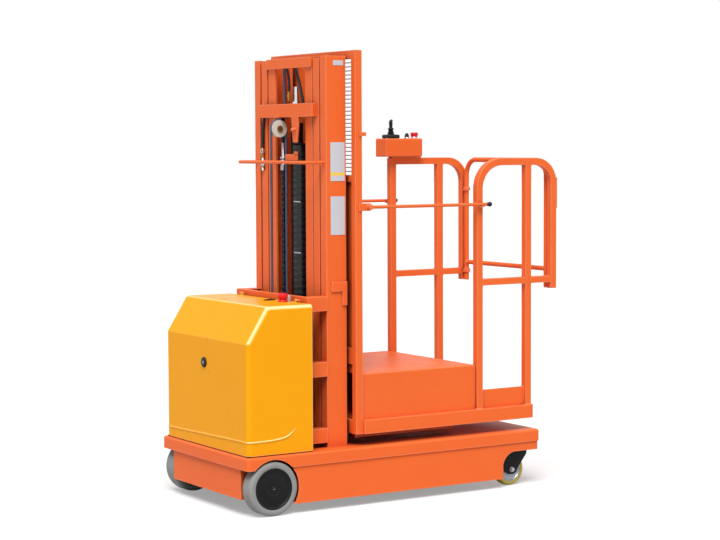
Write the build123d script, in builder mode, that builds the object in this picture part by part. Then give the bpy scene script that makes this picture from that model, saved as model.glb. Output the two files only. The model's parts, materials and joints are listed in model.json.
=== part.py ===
from build123d import *
import os

# Order picker truck, standing on its wheels with the platform lowered.
# Frame: origin on the floor under the middle of the outline, +Z up, the drive
# cover at -X, the operator's platform at +X, the near side at -Y.

os.makedirs("parts", exist_ok=True)

# Overall places
truck_length = 1780.0
platform_overhang = 126.0
deck_width = 854.0
deck_top = 275.0
x_front = -truck_length / 2
x_rear = truck_length / 2
x_deck_end = x_rear - platform_overhang
deck_length = x_deck_end - x_front
y_deck = deck_width / 2
cut_over = 1.0

# Deck, skirts and underframe
lip_height = 58.0
deck_sheet = 5.0
deck_corner = 20.0
deck_edge = 10.0
skirt_bottom = 45.0
skirt_recess = 6.0
skirt_sheet = 4.0
front_plate_bottom = 75.0
front_plate_inset = 14.0
skirt_arch_inset = 29.0
rear_skirt_bottom = 175.0
caster_cut_reach = 222.0
caster_cut_end_reach = 143.0
caster_cut_front = x_deck_end - caster_cut_reach
caster_cut_end = x_deck_end - caster_cut_end_reach
caster_cut_rise_z = 117.0
caster_cut_round = 77.0
belly_sheet = 4.0
belly_gap = 72.0
belly_end = caster_cut_front - belly_gap

# Drive wheels
drive_radius = 125.0
drive_width = 80.0
drive_hub_radius = 95.0
drive_shoulder = 8.0
drive_inset = 138.0
drive_x = x_front + drive_inset
drive_arch_gap = 9.0
drive_side_gap = 12.0
axle_radius = 15.0
axle_hole_gap = 1.0
running_gap = 0.05
hub_dish_radius = 88.0
hub_recess = 1.0
hub_dish_depth = 5.0
axle_cap_radius = 11.0
motor_radius = 58.0
motor_length = 190.0
motor_plate = 12.0
motor_hanger = 60.0

# Casters
caster_radius = 80.0
caster_width = 50.0
caster_shoulder = 8.0
caster_rim_radius = 62.0
caster_rim_recess = 2.0
caster_boss_gap = 0.3
caster_trail = 50.0
caster_inset = 144.0
caster_side_inset = 77.0
caster_x = x_deck_end - caster_inset
caster_y = y_deck - caster_side_inset
caster_cheek = 5.0
caster_cheek_gap = 5.0
caster_boss = 22.0
caster_axle_radius = 8.0
caster_bolt_radius = 13.0
caster_bolt_head = 7.0
caster_crown_gap = 6.0
caster_crown_height = 12.0
caster_crown_length = 90.0
caster_race_radius = 42.0
caster_race_height = 18.0
caster_stem_radius = 12.0
caster_stem_drop = 8.0
caster_plate_gap = 0.3
caster_plate_sheet = 8.0
caster_beam_reach = 80.0
swivel_x = caster_x + caster_trail
crown_bottom = 2 * caster_radius + caster_crown_gap
crown_top = crown_bottom + caster_crown_height
race_top = crown_top + caster_race_height
caster_beam_bottom = race_top + caster_plate_gap

# Mast: three nested stages of channels
mast_inset = 478.0
mast_front = x_front + mast_inset
mast_depth = 107.0
mast_top = 2095.0
mast_half_width = 335.0
stage_step = 2.0
flange_sheet = 12.0
web_sheet = 10.0
stage_foot = 5.0
mast_back = mast_front + mast_depth
base_sheet = 12.0
mast_bottom = deck_top + base_sheet
outer_flange = 50.0
middle_half_width = 270.0
middle_flange = 52.0
inner_half_width = 207.0
inner_flange = 64.0
roller_gap = 0.3
roller_side_gap = 3.0
roller_length = 32.0
roller_low = 60.0
roller_pitch = 380.0
carriage_roller_inset = 42.0
stub_radius = 14.0

# Ties of the moving stages
tie_front_gap = 27.0
middle_tie_low = 1816.0
middle_tie_height = 63.0
middle_tie_half = 253.0
middle_foot_height = 28.0
inner_top_tie_height = 47.0
inner_top_tie_front = 12.0
inner_foot_low = 30.0
inner_foot_height = 40.0
inner_foot_reach = 26.0
inner_foot_gap = 6.0
tie_sheet = 8.0

# Cover frame on the mast's front
brace_height = 68.0
brace_width = 50.0
brace_proud = 5.0
brace_sheet = 5.0
# Braces: bottom edges over the floor
brace_lows = (298.0, 608.0, 914.0)
cover_post_reach = 108.0
cover_post_x = mast_front - cover_post_reach
cover_post_depth = 20.0

# U-shaped guard bar round the mast's front
guard_bar_z = 1603.0
guard_bar_reach = 108.0
guard_bar_half = 316.0
guard_bar_radius = 8.0
guard_bar_bend = 28.0

# Lift cylinder
lift_inset = 62.0
lift_x = mast_front + lift_inset
lift_y = 35.0
barrel_radius = 30.0
barrel_bore = 22.0
barrel_top = 1790.0
gland_height = 40.0
rod_radius = 15.0
rod_bottom_gap = 30.0
rod_top = 1962.0
rod_arm_height = 50.0
rod_nut_radius = 22.0
rod_nut_height = 18.0

# Hose pulley, tab, chain and cable carrier on the middle stage
pulley_proud = 28.0
pulley_x = mast_front - pulley_proud
pulley_y = 56.0
pulley_z = 1762.0
pulley_radius = 41.0
pulley_width = 22.0
pulley_groove = 6.0
pulley_cheek = 4.0
pulley_cheek_gap = 2.0
cheek_reach = 14.0
pulley_pin_radius = 8.0
pin_head_radius = 14.0
pin_head = 6.0
tab_y = -92.0
tab_width = 60.0
tab_drop = 120.0
tab_foot = 34.0
tab_bolt_radius = 10.0
tab_bolt_head = 8.0
chain_inset = 15.0
chain_x = mast_front + chain_inset
chain_y = 88.0
chain_width = 28.0
chain_depth = 12.0
chain_pitch = 25.4
chain_plate_proud = 1.0
chain_top = 1566.0
chain_bottom = 330.0
anchor_radius = 8.0
anchor_block = 14.0
side_anchor_y = 250.0
side_anchor_low = 1560.0
side_anchor_high = 1664.0
carrier_inset = 7.0
carrier_x = mast_front + carrier_inset
carrier_y = -58.0
carrier_width = 76.0
carrier_depth = 25.0
carrier_top = 1683.0
carrier_bottom = 560.0
carrier_return_top = 900.0
carrier_bend = 38.0
carrier_link_pitch = 30.0
carrier_link_gap = 4.0
carrier_rib = 2.0

# Hoses
hose_radius = 6.0
hose_bottom = 330.0
hose_bend_gap = 0.2

# Drive cover
cover_front_inset = 16.0
cover_depth = 341.0
cover_side_inset = 22.0
cover_half_width = y_deck - cover_side_inset
cover_top = 956.0
cover_crease = 790.0
cover_slant = 105.0
cover_sheet = 4.0
cover_round = 22.0
cover_seat = 4.0
hinge_y = 250.0
hinge_knuckle = 20.0
hinge_radius = 7.0
hinge_pin_radius = 4.0
hinge_gap = 0.5
hinge_rise = 7.0
hinge_back = 3.0
hinge_leaf_half = 3.0
hinge_fold = 40.0
lock_y = 12.0
lock_z = 672.0
lock_radius = 24.0
lock_proud = 9.0
stop_back_inset = 42.0
stop_y = -208.0
stop_radius = 24.0
stop_height = 42.0
button_stem_share = 0.6
switch_back_inset = 50.0
switch_y = -95.0
switch_length = 60.0
switch_width = 26.0
switch_proud = 4.0

# Battery and pump under the cover
battery_length = 250.0
battery_width = 520.0
battery_height = 230.0
battery_inset = 151.0
pump_length = 200.0
pump_width = 420.0
pump_height = 260.0

# Carriage and operator guard
guard_gap = 17.0
guard_front = mast_back + guard_gap
guard_depth = 37.0
guard_side_inset = 36.0
guard_half_width = y_deck - guard_side_inset
guard_post = 34.0
guard_top = 2121.0
guard_bottom = 331.0
guard_back = guard_front + guard_depth
guard_top_bar = 38.0
mesh_bottom_bar_low = 1512.0
mesh_bottom_bar = 29.0
panel_bar_low = 659.0
panel_bar = 75.0
low_bar_low = 332.0
low_bar = 62.0
mesh_wire = 4.0
mesh_pitch = 19.0
mesh_column_pitch = 88.0
panel_sheet = 3.0
mesh_back_inset = 24.0
back_plate_half = 265.0
carriage_plate_y = 118.0
carriage_plate_sheet = 12.0
carriage_plate_low = 330.0
carriage_plate_high = 800.0

# Platform floor, load table and fork arms
skirt_low = 332.0
floor_top = 398.0
floor_side_inset = 21.0
floor_end_inset = 17.0
floor_half_width = y_deck - floor_side_inset
floor_end = x_deck_end - floor_end_inset
floor_sheet = 4.0
floor_corner = 25.0
standing_depth = 349.0
table_side_inset = 22.0
table_end = floor_end - standing_depth
table_half_width = floor_half_width - table_side_inset
table_top = 615.0
table_sheet = 3.0
table_edge = 6.0
arm_inset = 82.0
arm_end = table_end - arm_inset
arm_width = 60.0
arm_side_inset = 116.0
arm_y = floor_half_width - arm_side_inset
arm_low = 305.0

# Rails
rail_half = 17.0
mid_rail_half = 16.0
rail_side_inset = 25.0
rail_y = floor_half_width - rail_side_inset
rail_top = 1615.0
post_one_gap = 20.0
post_two_inset = 35.0
post_one_x = table_end + post_one_gap
post_two_x = floor_end - post_two_inset
strip_sheet = 5.0
tail_x = x_rear - strip_sheet - rail_half
tail_bottom = 970.0
rail_bend = 130.0
tail_bend = 105.0
mid_rail_z = 1015.0
toe_height = 91.0
toe_sheet = 3.0
strip_low = 1366.0
strip_high = 1516.0
strip_width = 66.0

# Rear gate
gate_radius = 12.5
gate_side_gap = 40.0
gate_half = rail_y - gate_side_gap
gate_set_in = 3.0
gate_x = tail_x - gate_set_in
gate_bend = 80.0
gate_mid_radius = 12.0
gate_mid_z = 1063.0
gate_ring_radius = 20.0
gate_ring_sheet = 10.0
gate_ring_zs = (1010.0, 1440.0)
gate_collar_radius = 17.0
gate_collar_height = 8.0

# Side bars over the load table
bar_side_gap = 24.0
bar_y = guard_half_width + bar_side_gap
bar_z = 1394.0
bar_pivot_gap = 31.0
bar_overhang = 34.0
bar_pivot_x = guard_back + bar_pivot_gap
bar_end = post_one_x + bar_overhang
bar_radius = 8.0
bar_eye_radius = 13.0
bar_eye_width = 16.0
bar_pin_radius = 5.0
bar_bracket_sheet = 6.0
bar_bracket_height = 36.0
knob_radius = 12.0
knob_flat = 5.0
saddle_length = 26.0
saddle_sheet = 5.0
saddle_gap = 0.5
keeper_z = 1733.0
keeper_radius = 9.0
keeper_reach = 20.0

# Control box on the far rail
box_low = 1621.0
box_high = 1714.0
box_front_reach = 71.0
box_back_reach = 154.0
box_in_reach = 59.0
box_out_reach = 44.0
box_x_low = post_one_x - box_front_reach
box_x_high = post_one_x + box_back_reach
box_y_low = rail_y - box_in_reach
box_y_high = rail_y + box_out_reach
box_round = 6.0
box_clamp_length = 180.0
box_clamp_shift = 40.0
stick_inset = 53.0
stick_side_gap = 21.0
stick_x = box_x_low + stick_inset
stick_y = rail_y - stick_side_gap
stick_base = 70.0
stick_base_height = 26.0
stick_boot_radius = 20.0
stick_boot_top = 10.0
stick_boot_height = 32.0
stick_radius = 6.0
stick_grip_radius = 12.0
stick_grip_height = 44.0
box_stop_inset = 37.0
box_stop_side_gap = 36.0
box_stop_x = box_x_high - box_stop_inset
box_stop_y = rail_y - box_stop_side_gap
box_stop_radius = 20.0
box_stop_height = 32.0
box_switch_inset = 85.0
box_switch_x = box_x_high - box_switch_inset

# Plates on the near mast face
plate_sheet = 1.5
# Plates: lowest and highest edge over the floor
plate_spans = ((1516.0, 1696.0), (1266.0, 1445.0))
plate_front_gap = 23.0
plate_back_gap = 7.0
plate_x_low = mast_front + plate_front_gap
plate_x_high = mast_back - plate_back_gap
small_plate_front_gap = 39.0
small_plate_back_gap = 13.0
small_plate_low = 2051.0
small_plate_high = 2074.0
stop_plate_low = 1002.0
stop_plate_high = 1048.0
stop_plate_sheet = 8.0
stop_lug_low = 936.0
stop_lug_width = 25.0
stop_lug_x = mast_back - stop_lug_width

cover_x_front = x_front + cover_front_inset
cover_x_back = cover_x_front + cover_depth
hinge_x = cover_x_back + hinge_back
stop_x = cover_x_back - stop_back_inset
switch_x = cover_x_back - switch_back_inset
battery_x = cover_x_front + battery_inset
hinge_z = cover_top + hinge_rise

sides = (("near", -1), ("far", 1))


def block(x_low, x_high, y_low, y_high, z_low, z_high, mode=Mode.ADD):
    """Add a box between two corners to the open part."""
    with Locations(((x_low + x_high) / 2, (y_low + y_high) / 2, (z_low + z_high) / 2)):
        Box(abs(x_high - x_low), abs(y_high - y_low), abs(z_high - z_low), mode=mode)


def rod_y(x, z, y_low, y_high, radius, mode=Mode.ADD):
    """Add a round bar along Y to the open part."""
    with Locations(Location((x, (y_low + y_high) / 2, z), (90, 0, 0))):
        Cylinder(radius, abs(y_high - y_low), mode=mode)


def rod_z(x, y, z_low, z_high, radius, mode=Mode.ADD):
    """Add an upright round bar to the open part."""
    with Locations((x, y, (z_low + z_high) / 2)):
        Cylinder(radius, z_high - z_low, mode=mode)


def rod_x(y, z, x_low, x_high, radius, mode=Mode.ADD):
    """Add a round bar along X to the open part."""
    with Locations(Location(((x_low + x_high) / 2, y, z), (0, 90, 0))):
        Cylinder(radius, x_high - x_low, mode=mode)


def pipe(points, radii, radius):
    """A round bar along straight runs joined by tangent arcs."""
    with BuildPart() as tube:
        with BuildLine() as path:
            FilletPolyline(*points, radius=radii)
        with BuildSketch(path.line ^ 0):
            Circle(radius)
        sweep(path=path.line)
    return tube.part


def square_tube(points, radii, half):
    """A square bar along straight runs joined by tangent arcs."""
    with BuildPart() as tube:
        with BuildLine() as path:
            FilletPolyline(*points, radius=radii)
        with BuildSketch(path.line ^ 0):
            Rectangle(2 * half, 2 * half)
        sweep(path=path.line)
    return tube.part


# Deck: a pressed tray with a rolled edge, arched over the drive wheels
with BuildPart() as deck:
    with BuildSketch(Plane.XY.offset(deck_top - lip_height)):
        with Locations(((x_front + x_deck_end) / 2, 0)):
            RectangleRounded(deck_length, deck_width, deck_corner)
    extrude(amount=lip_height)
    fillet(deck.faces().sort_by(Axis.Z)[-1].edges(), deck_edge)
    with BuildSketch(Plane.XY.offset(deck_top - lip_height)):
        with Locations(((x_front + x_deck_end) / 2, 0)):
            RectangleRounded(
                deck_length - 2 * deck_sheet, deck_width - 2 * deck_sheet, deck_corner - deck_sheet
            )
    extrude(amount=lip_height - deck_sheet, mode=Mode.SUBTRACT)
    for _, side in sides:
        rod_y(
            drive_x, drive_radius, side * (y_deck + cut_over),
            side * (y_deck - drive_width - drive_side_gap), drive_radius + drive_arch_gap,
            mode=Mode.SUBTRACT,
        )
deck.part.label = "deck"
export_step(deck.part, "parts/deck.step")

# Underframe: skirts, belly plate, front and rear plates and the caster beam
y_skirt = y_deck - skirt_recess
deck_under = deck_top - deck_sheet
wheel_wall_y = y_deck - drive_width - drive_side_gap
x_arch_end = drive_x + drive_radius + drive_arch_gap
with BuildPart() as underframe:
    with BuildSketch(Plane.XY.offset(skirt_bottom)):
        with Locations(((x_front + x_deck_end) / 2, 0)):
            RectangleRounded(
                deck_length - 2 * skirt_recess, deck_width - 2 * skirt_recess,
                deck_corner - skirt_recess,
            )
            RectangleRounded(
                deck_length - 2 * (skirt_recess + skirt_sheet),
                deck_width - 2 * (skirt_recess + skirt_sheet),
                deck_corner - skirt_recess - skirt_sheet, mode=Mode.SUBTRACT,
            )
    extrude(amount=deck_under - skirt_bottom)
    block(
        x_front, x_arch_end - skirt_arch_inset, -y_deck, y_deck, skirt_bottom,
        deck_top - lip_height, mode=Mode.SUBTRACT,
    )
    with BuildSketch(Plane.XZ.offset(-y_deck)):
        with BuildLine():
            Line((caster_cut_front, skirt_bottom), (caster_cut_front, caster_cut_rise_z))
            RadiusArc(
                (caster_cut_front, caster_cut_rise_z), (caster_cut_end, rear_skirt_bottom),
                caster_cut_round,
            )
            Polyline(
                (caster_cut_end, rear_skirt_bottom), (x_deck_end, rear_skirt_bottom),
                (x_deck_end, skirt_bottom), (caster_cut_front, skirt_bottom),
            )
        make_face()
    extrude(amount=2 * y_deck, mode=Mode.SUBTRACT)
    for _, side in sides:
        rod_y(
            drive_x, drive_radius, side * (y_deck + cut_over), side * wheel_wall_y,
            drive_radius + drive_arch_gap, mode=Mode.SUBTRACT,
        )
        block(
            x_front + front_plate_inset, x_arch_end + skirt_sheet,
            side * (wheel_wall_y - skirt_sheet), side * wheel_wall_y, front_plate_bottom, deck_under,
        )
        rod_y(
            drive_x, drive_radius, side * (wheel_wall_y - skirt_sheet), side * wheel_wall_y,
            axle_radius + axle_hole_gap, mode=Mode.SUBTRACT,
        )
        block(
            x_arch_end, x_arch_end + skirt_sheet, side * wheel_wall_y, side * (y_skirt - skirt_sheet),
            skirt_bottom, deck_under,
        )
    block(
        x_front + front_plate_inset, x_front + front_plate_inset + skirt_sheet,
        -wheel_wall_y, wheel_wall_y, front_plate_bottom, deck_under,
    )
    block(
        x_arch_end, belly_end, -y_skirt + skirt_sheet, y_skirt - skirt_sheet,
        skirt_bottom, skirt_bottom + belly_sheet,
    )
    block(
        belly_end - skirt_sheet, belly_end, -y_skirt + skirt_sheet, y_skirt - skirt_sheet,
        skirt_bottom, deck_under,
    )
    block(
        swivel_x - caster_beam_reach, swivel_x + caster_beam_reach,
        -y_skirt + skirt_sheet, y_skirt - skirt_sheet,
        caster_beam_bottom, caster_beam_bottom + caster_plate_sheet,
    )
    for beam_x in (swivel_x - caster_beam_reach, swivel_x + caster_beam_reach - skirt_sheet):
        block(
            beam_x, beam_x + skirt_sheet, -y_skirt + skirt_sheet, y_skirt - skirt_sheet,
            caster_beam_bottom, deck_under,
        )
    for _, side in sides:
        rod_z(
            swivel_x, side * caster_y, caster_beam_bottom - cut_over,
            caster_beam_bottom + caster_plate_sheet + cut_over, caster_stem_radius + running_gap,
            mode=Mode.SUBTRACT,
        )
underframe.part.label = "underframe"
export_step(underframe.part, "parts/underframe.step")

# Drive wheels: a tyre on a dished hub, and the gear motor that carries it
for name, side in sides:
    y_out = side * y_deck
    y_in = side * (y_deck - drive_width)
    with BuildPart() as drive_tyre:
        rod_y(drive_x, drive_radius, y_out, y_in, drive_radius)
        fillet(drive_tyre.edges().filter_by(GeomType.CIRCLE), drive_shoulder)
        rod_y(drive_x, drive_radius, y_out, y_in, drive_hub_radius, mode=Mode.SUBTRACT)
    drive_tyre.part.label = f"drive_tyre_{name}"
    export_step(drive_tyre.part, f"parts/drive_tyre_{name}.step")

    with BuildPart() as drive_hub:
        rod_y(
            drive_x, drive_radius, y_out - side * hub_recess, y_in + side * hub_recess,
            drive_hub_radius,
        )
        rod_y(
            drive_x, drive_radius, y_out - side * hub_dish_depth, y_out, hub_dish_radius,
            mode=Mode.SUBTRACT,
        )
        rod_y(
            drive_x, drive_radius, y_in, y_out - side * hub_dish_depth, axle_radius + running_gap,
            mode=Mode.SUBTRACT,
        )
    drive_hub.part.label = f"drive_hub_{name}"
    export_step(drive_hub.part, f"parts/drive_hub_{name}.step")

    y_motor = side * (wheel_wall_y - skirt_sheet - motor_plate)
    with BuildPart() as drive_unit:
        rod_y(drive_x, drive_radius, y_motor, y_motor - side * motor_length, motor_radius)
        block(
            drive_x - motor_hanger, drive_x + motor_hanger, y_motor,
            y_motor + side * motor_plate, drive_radius - motor_hanger, deck_under,
        )
        rod_y(
            drive_x, drive_radius, y_motor, y_out - side * hub_dish_depth, axle_radius,
        )
        rod_y(
            drive_x, drive_radius, y_out - side * hub_dish_depth, y_out - side * hub_recess,
            axle_cap_radius,
        )
    drive_unit.part.label = f"drive_unit_{name}"
    export_step(drive_unit.part, f"parts/drive_unit_{name}.step")

# Casters: a swivelling fork that trails its wheel
for name, side in sides:
    y_mid = side * caster_y
    y_cheek = caster_width / 2 + caster_cheek_gap
    with BuildPart() as caster_fork:
        block(
            swivel_x - caster_crown_length / 2, swivel_x + caster_crown_length / 2,
            y_mid - y_cheek - caster_cheek, y_mid + y_cheek + caster_cheek, crown_bottom, crown_top,
        )
        rod_z(swivel_x, y_mid, crown_top, race_top, caster_race_radius)
        rod_z(swivel_x, y_mid, race_top, deck_under - caster_stem_drop, caster_stem_radius)
        for cheek in (-1, 1):
            y_from = y_mid + cheek * y_cheek
            with BuildSketch(Plane.XZ.offset(-y_from)):
                with BuildLine():
                    Polyline(
                        (swivel_x - caster_crown_length / 2, crown_top),
                        (caster_x - caster_boss, caster_radius + caster_boss / 2),
                        (caster_x - caster_boss / 2, caster_radius - caster_boss),
                        (caster_x + caster_boss / 2, caster_radius - caster_boss),
                        (caster_x + caster_boss, caster_radius),
                        (swivel_x + caster_crown_length / 2, crown_top),
                        close=True,
                    )
                make_face()
            extrude(amount=-cheek * caster_cheek)
        rod_y(
            caster_x, caster_radius, y_mid - y_cheek - caster_cheek - caster_bolt_head,
            y_mid + y_cheek + caster_cheek + caster_bolt_head, caster_axle_radius,
        )
        for cheek in (-1, 1):
            y_from = y_mid + cheek * (y_cheek + caster_cheek)
            rod_y(
                caster_x, caster_radius, y_from, y_from + cheek * caster_bolt_head, caster_bolt_radius,
            )
    caster_fork.part.label = f"caster_fork_{name}"
    export_step(caster_fork.part, f"parts/caster_fork_{name}.step")

    with BuildPart() as caster_tyre:
        rod_y(
            caster_x, caster_radius, y_mid - caster_width / 2, y_mid + caster_width / 2, caster_radius,
        )
        fillet(caster_tyre.edges().filter_by(GeomType.CIRCLE), caster_shoulder)
        rod_y(
            caster_x, caster_radius, y_mid - caster_width / 2, y_mid + caster_width / 2,
            caster_rim_radius, mode=Mode.SUBTRACT,
        )
    caster_tyre.part.label = f"caster_tyre_{name}"
    export_step(caster_tyre.part, f"parts/caster_tyre_{name}.step")

    with BuildPart() as caster_rim:
        rod_y(
            caster_x, caster_radius, y_mid - caster_width / 2 + caster_rim_recess,
            y_mid + caster_width / 2 - caster_rim_recess, caster_rim_radius,
        )
        rod_y(
            caster_x, caster_radius, y_mid - y_cheek + caster_boss_gap, y_mid + y_cheek - caster_boss_gap,
            caster_boss,
        )
        rod_y(
            caster_x, caster_radius, y_mid - y_cheek, y_mid + y_cheek,
            caster_axle_radius + running_gap, mode=Mode.SUBTRACT,
        )
    caster_rim.part.label = f"caster_rim_{name}"
    export_step(caster_rim.part, f"parts/caster_rim_{name}.step")


def stage_channels(half_width, flange, x_low, x_high, z_low, z_high):
    """Two upright channels, open towards each other."""
    for _, side in sides:
        y_web = side * half_width
        block(x_low, x_high, y_web - side * web_sheet, y_web, z_low, z_high)
        for x_flange in (x_low, x_high - flange_sheet):
            block(x_flange, x_flange + flange_sheet, y_web - side * flange, y_web, z_low, z_high)


def stage_rollers(half_width, y_track, radius, x_mid, heights):
    """Rollers on stub axles, from a stage's web out into the channel round it."""
    for _, side in sides:
        for z_roller in heights:
            rod_y(x_mid, z_roller, side * half_width, side * y_track, stub_radius)
            rod_y(x_mid, z_roller, side * (y_track - roller_length), side * y_track, radius)


# Outer mast: fixed channels on a base plate
with BuildPart() as mast_outer:
    stage_channels(mast_half_width, outer_flange, mast_front, mast_back, mast_bottom, mast_top)
    block(
        mast_front, mast_back, -mast_half_width, mast_half_width, deck_top, mast_bottom,
    )
mast_outer.part.label = "mast_outer"
export_step(mast_outer.part, "parts/mast_outer.step")

# Middle stage
middle_front = mast_front + stage_step
middle_back = mast_back - stage_step
middle_low = mast_bottom + stage_foot
middle_high = mast_top - 2 * stage_foot
outer_inside = mast_depth - 2 * flange_sheet
middle_depth = middle_back - middle_front
middle_inside = middle_depth - 2 * flange_sheet
mast_mid = (mast_front + mast_back) / 2
with BuildPart() as mast_middle:
    stage_channels(
        middle_half_width, middle_flange, middle_front, middle_back, middle_low, middle_high,
    )
    stage_rollers(
        middle_half_width, mast_half_width - web_sheet - roller_side_gap,
        outer_inside / 2 - roller_gap, mast_mid,
        (middle_low + roller_low, middle_low + roller_low + roller_pitch),
    )
    block(
        middle_front - tie_front_gap, middle_front, -middle_tie_half, middle_tie_half,
        middle_low, middle_low + middle_foot_height,
    )
mast_middle.part.label = "mast_middle"
export_step(mast_middle.part, "parts/mast_middle.step")

# Middle stage's front tie, with the rod's arm, the pulley's cheek and pin, and the tapered tab
tie_front = middle_front - tie_front_gap
middle_tie_high = middle_tie_low + middle_tie_height
rod_arm_low = middle_tie_low + (middle_tie_height - rod_arm_height) / 2
cheek_inner = pulley_width / 2 + pulley_cheek_gap
with BuildPart() as middle_tie:
    block(
        tie_front, tie_front + tie_sheet, -middle_tie_half, middle_tie_half,
        middle_tie_low, middle_tie_high,
    )
    for _, side in sides:
        block(
            tie_front, middle_front, side * middle_tie_half, side * (middle_tie_half - tie_sheet),
            middle_tie_low, middle_tie_high,
        )
    block(
        tie_front, lift_x + barrel_radius, lift_y - barrel_radius, lift_y + barrel_radius,
        rod_arm_low, rod_arm_low + rod_arm_height,
    )
    rod_z(lift_x, lift_y, rod_arm_low, rod_arm_low + rod_arm_height, rod_radius, mode=Mode.SUBTRACT)
    y_cheek = pulley_y + cheek_inner
    block(
        pulley_x - cheek_reach, pulley_x + cheek_reach, y_cheek, y_cheek + pulley_cheek,
        pulley_z - 2 * pulley_pin_radius, middle_tie_low,
    )
    rod_y(
        pulley_x, pulley_z, pulley_y - cheek_inner, y_cheek + pulley_cheek, pulley_pin_radius,
    )
    rod_y(
        pulley_x, pulley_z, pulley_y - cheek_inner - pin_head, pulley_y - cheek_inner, pin_head_radius,
    )
    block(
        pulley_x - cheek_reach, tie_front + tie_sheet, pulley_y, y_cheek + pulley_cheek,
        middle_tie_low - tie_sheet / 2, middle_tie_low + tie_sheet,
    )
    with BuildSketch(Plane.YZ.offset(tie_front)):
        with BuildLine():
            Polyline(
                (tab_y - tab_width / 2, middle_tie_low + tie_sheet),
                (tab_y + tab_width / 2, middle_tie_low + tie_sheet),
                (tab_y + tab_width / 2, middle_tie_low - tab_drop / 3),
                (tab_y + tab_foot / 2, middle_tie_low - tab_drop),
                (tab_y - tab_foot / 2, middle_tie_low - tab_drop),
                (tab_y - tab_width / 2, middle_tie_low - tab_drop / 3),
                close=True,
            )
        make_face()
    extrude(amount=tie_sheet)
    rod_x(tab_y, middle_tie_low - tab_drop / 2, tie_front - tab_bolt_head, tie_front, tab_bolt_radius)
middle_tie.part.label = "middle_tie"
export_step(middle_tie.part, "parts/middle_tie.step")

with BuildPart() as hose_pulley:
    rod_y(
        pulley_x, pulley_z, pulley_y - pulley_width / 2, pulley_y + pulley_width / 2, pulley_radius,
    )
    with BuildSketch(Plane.XY.offset(pulley_z)):
        with Locations((pulley_x + pulley_radius, pulley_y)):
            Circle(pulley_groove)
    revolve(axis=Axis((pulley_x, pulley_y, pulley_z), (0, 1, 0)), mode=Mode.SUBTRACT)
    rod_y(
        pulley_x, pulley_z, pulley_y - pulley_width / 2, pulley_y + pulley_width / 2,
        pulley_pin_radius, mode=Mode.SUBTRACT,
    )
hose_pulley.part.label = "hose_pulley"
export_step(hose_pulley.part, "parts/hose_pulley.step")

# Lift cylinder: a hollow barrel on the base, and the rod that lifts the middle stage
with BuildPart() as lift_barrel:
    rod_z(lift_x, lift_y, mast_bottom, barrel_top, barrel_radius)
    rod_z(
        lift_x, lift_y, mast_bottom + rod_bottom_gap / 2, barrel_top - gland_height, barrel_bore,
        mode=Mode.SUBTRACT,
    )
    rod_z(
        lift_x, lift_y, barrel_top - gland_height, barrel_top, rod_radius + running_gap,
        mode=Mode.SUBTRACT,
    )
lift_barrel.part.label = "lift_barrel"
export_step(lift_barrel.part, "parts/lift_barrel.step")

with BuildPart() as lift_rod:
    rod_z(lift_x, lift_y, mast_bottom + rod_bottom_gap, rod_top, rod_radius)
    rod_z(
        lift_x, lift_y, rod_arm_low + rod_arm_height,
        rod_arm_low + rod_arm_height + rod_nut_height, rod_nut_radius,
    )
lift_rod.part.label = "lift_rod"
export_step(lift_rod.part, "parts/lift_rod.step")

# Lift chain and its anchors, on the middle stage
with BuildPart() as lift_chain:
    block(
        chain_x - chain_depth / 2, chain_x + chain_depth / 2, chain_y - chain_width / 4,
        chain_y + chain_width / 4, chain_bottom, chain_top,
    )
    link_count = int((chain_top - chain_bottom) / chain_pitch)
    for link in range(link_count):
        z_link = chain_bottom + (link + 0.5) * chain_pitch
        block(
            chain_x - chain_depth / 2 - chain_plate_proud, chain_x + chain_depth / 2 + chain_plate_proud,
            chain_y - chain_width / 2, chain_y + chain_width / 2,
            z_link - chain_pitch / 3, z_link + chain_pitch / 3,
        )
lift_chain.part.label = "lift_chain"
export_step(lift_chain.part, "parts/lift_chain.step")

with BuildPart() as chain_anchor:
    block(
        chain_x - anchor_block / 2, chain_x + anchor_block / 2, chain_y - chain_width / 2,
        chain_y + chain_width / 2, chain_top, chain_top + 2 * anchor_block,
    )
    rod_z(chain_x, chain_y, chain_top + anchor_block, middle_tie_low + tie_sheet, anchor_radius)
    block(
        tie_front + tie_sheet, chain_x + anchor_block, chain_y - anchor_block, chain_y + anchor_block,
        middle_tie_low, middle_tie_low + tie_sheet,
    )
    rod_z(
        middle_front - anchor_radius, side_anchor_y, side_anchor_low, side_anchor_high, anchor_radius,
    )
    block(
        middle_front - 2 * anchor_radius, middle_front, side_anchor_y - anchor_block,
        side_anchor_y + anchor_block, side_anchor_high - anchor_block, side_anchor_high,
    )
chain_anchor.part.label = "chain_anchor"
export_step(chain_anchor.part, "parts/chain_anchor.step")

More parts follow.
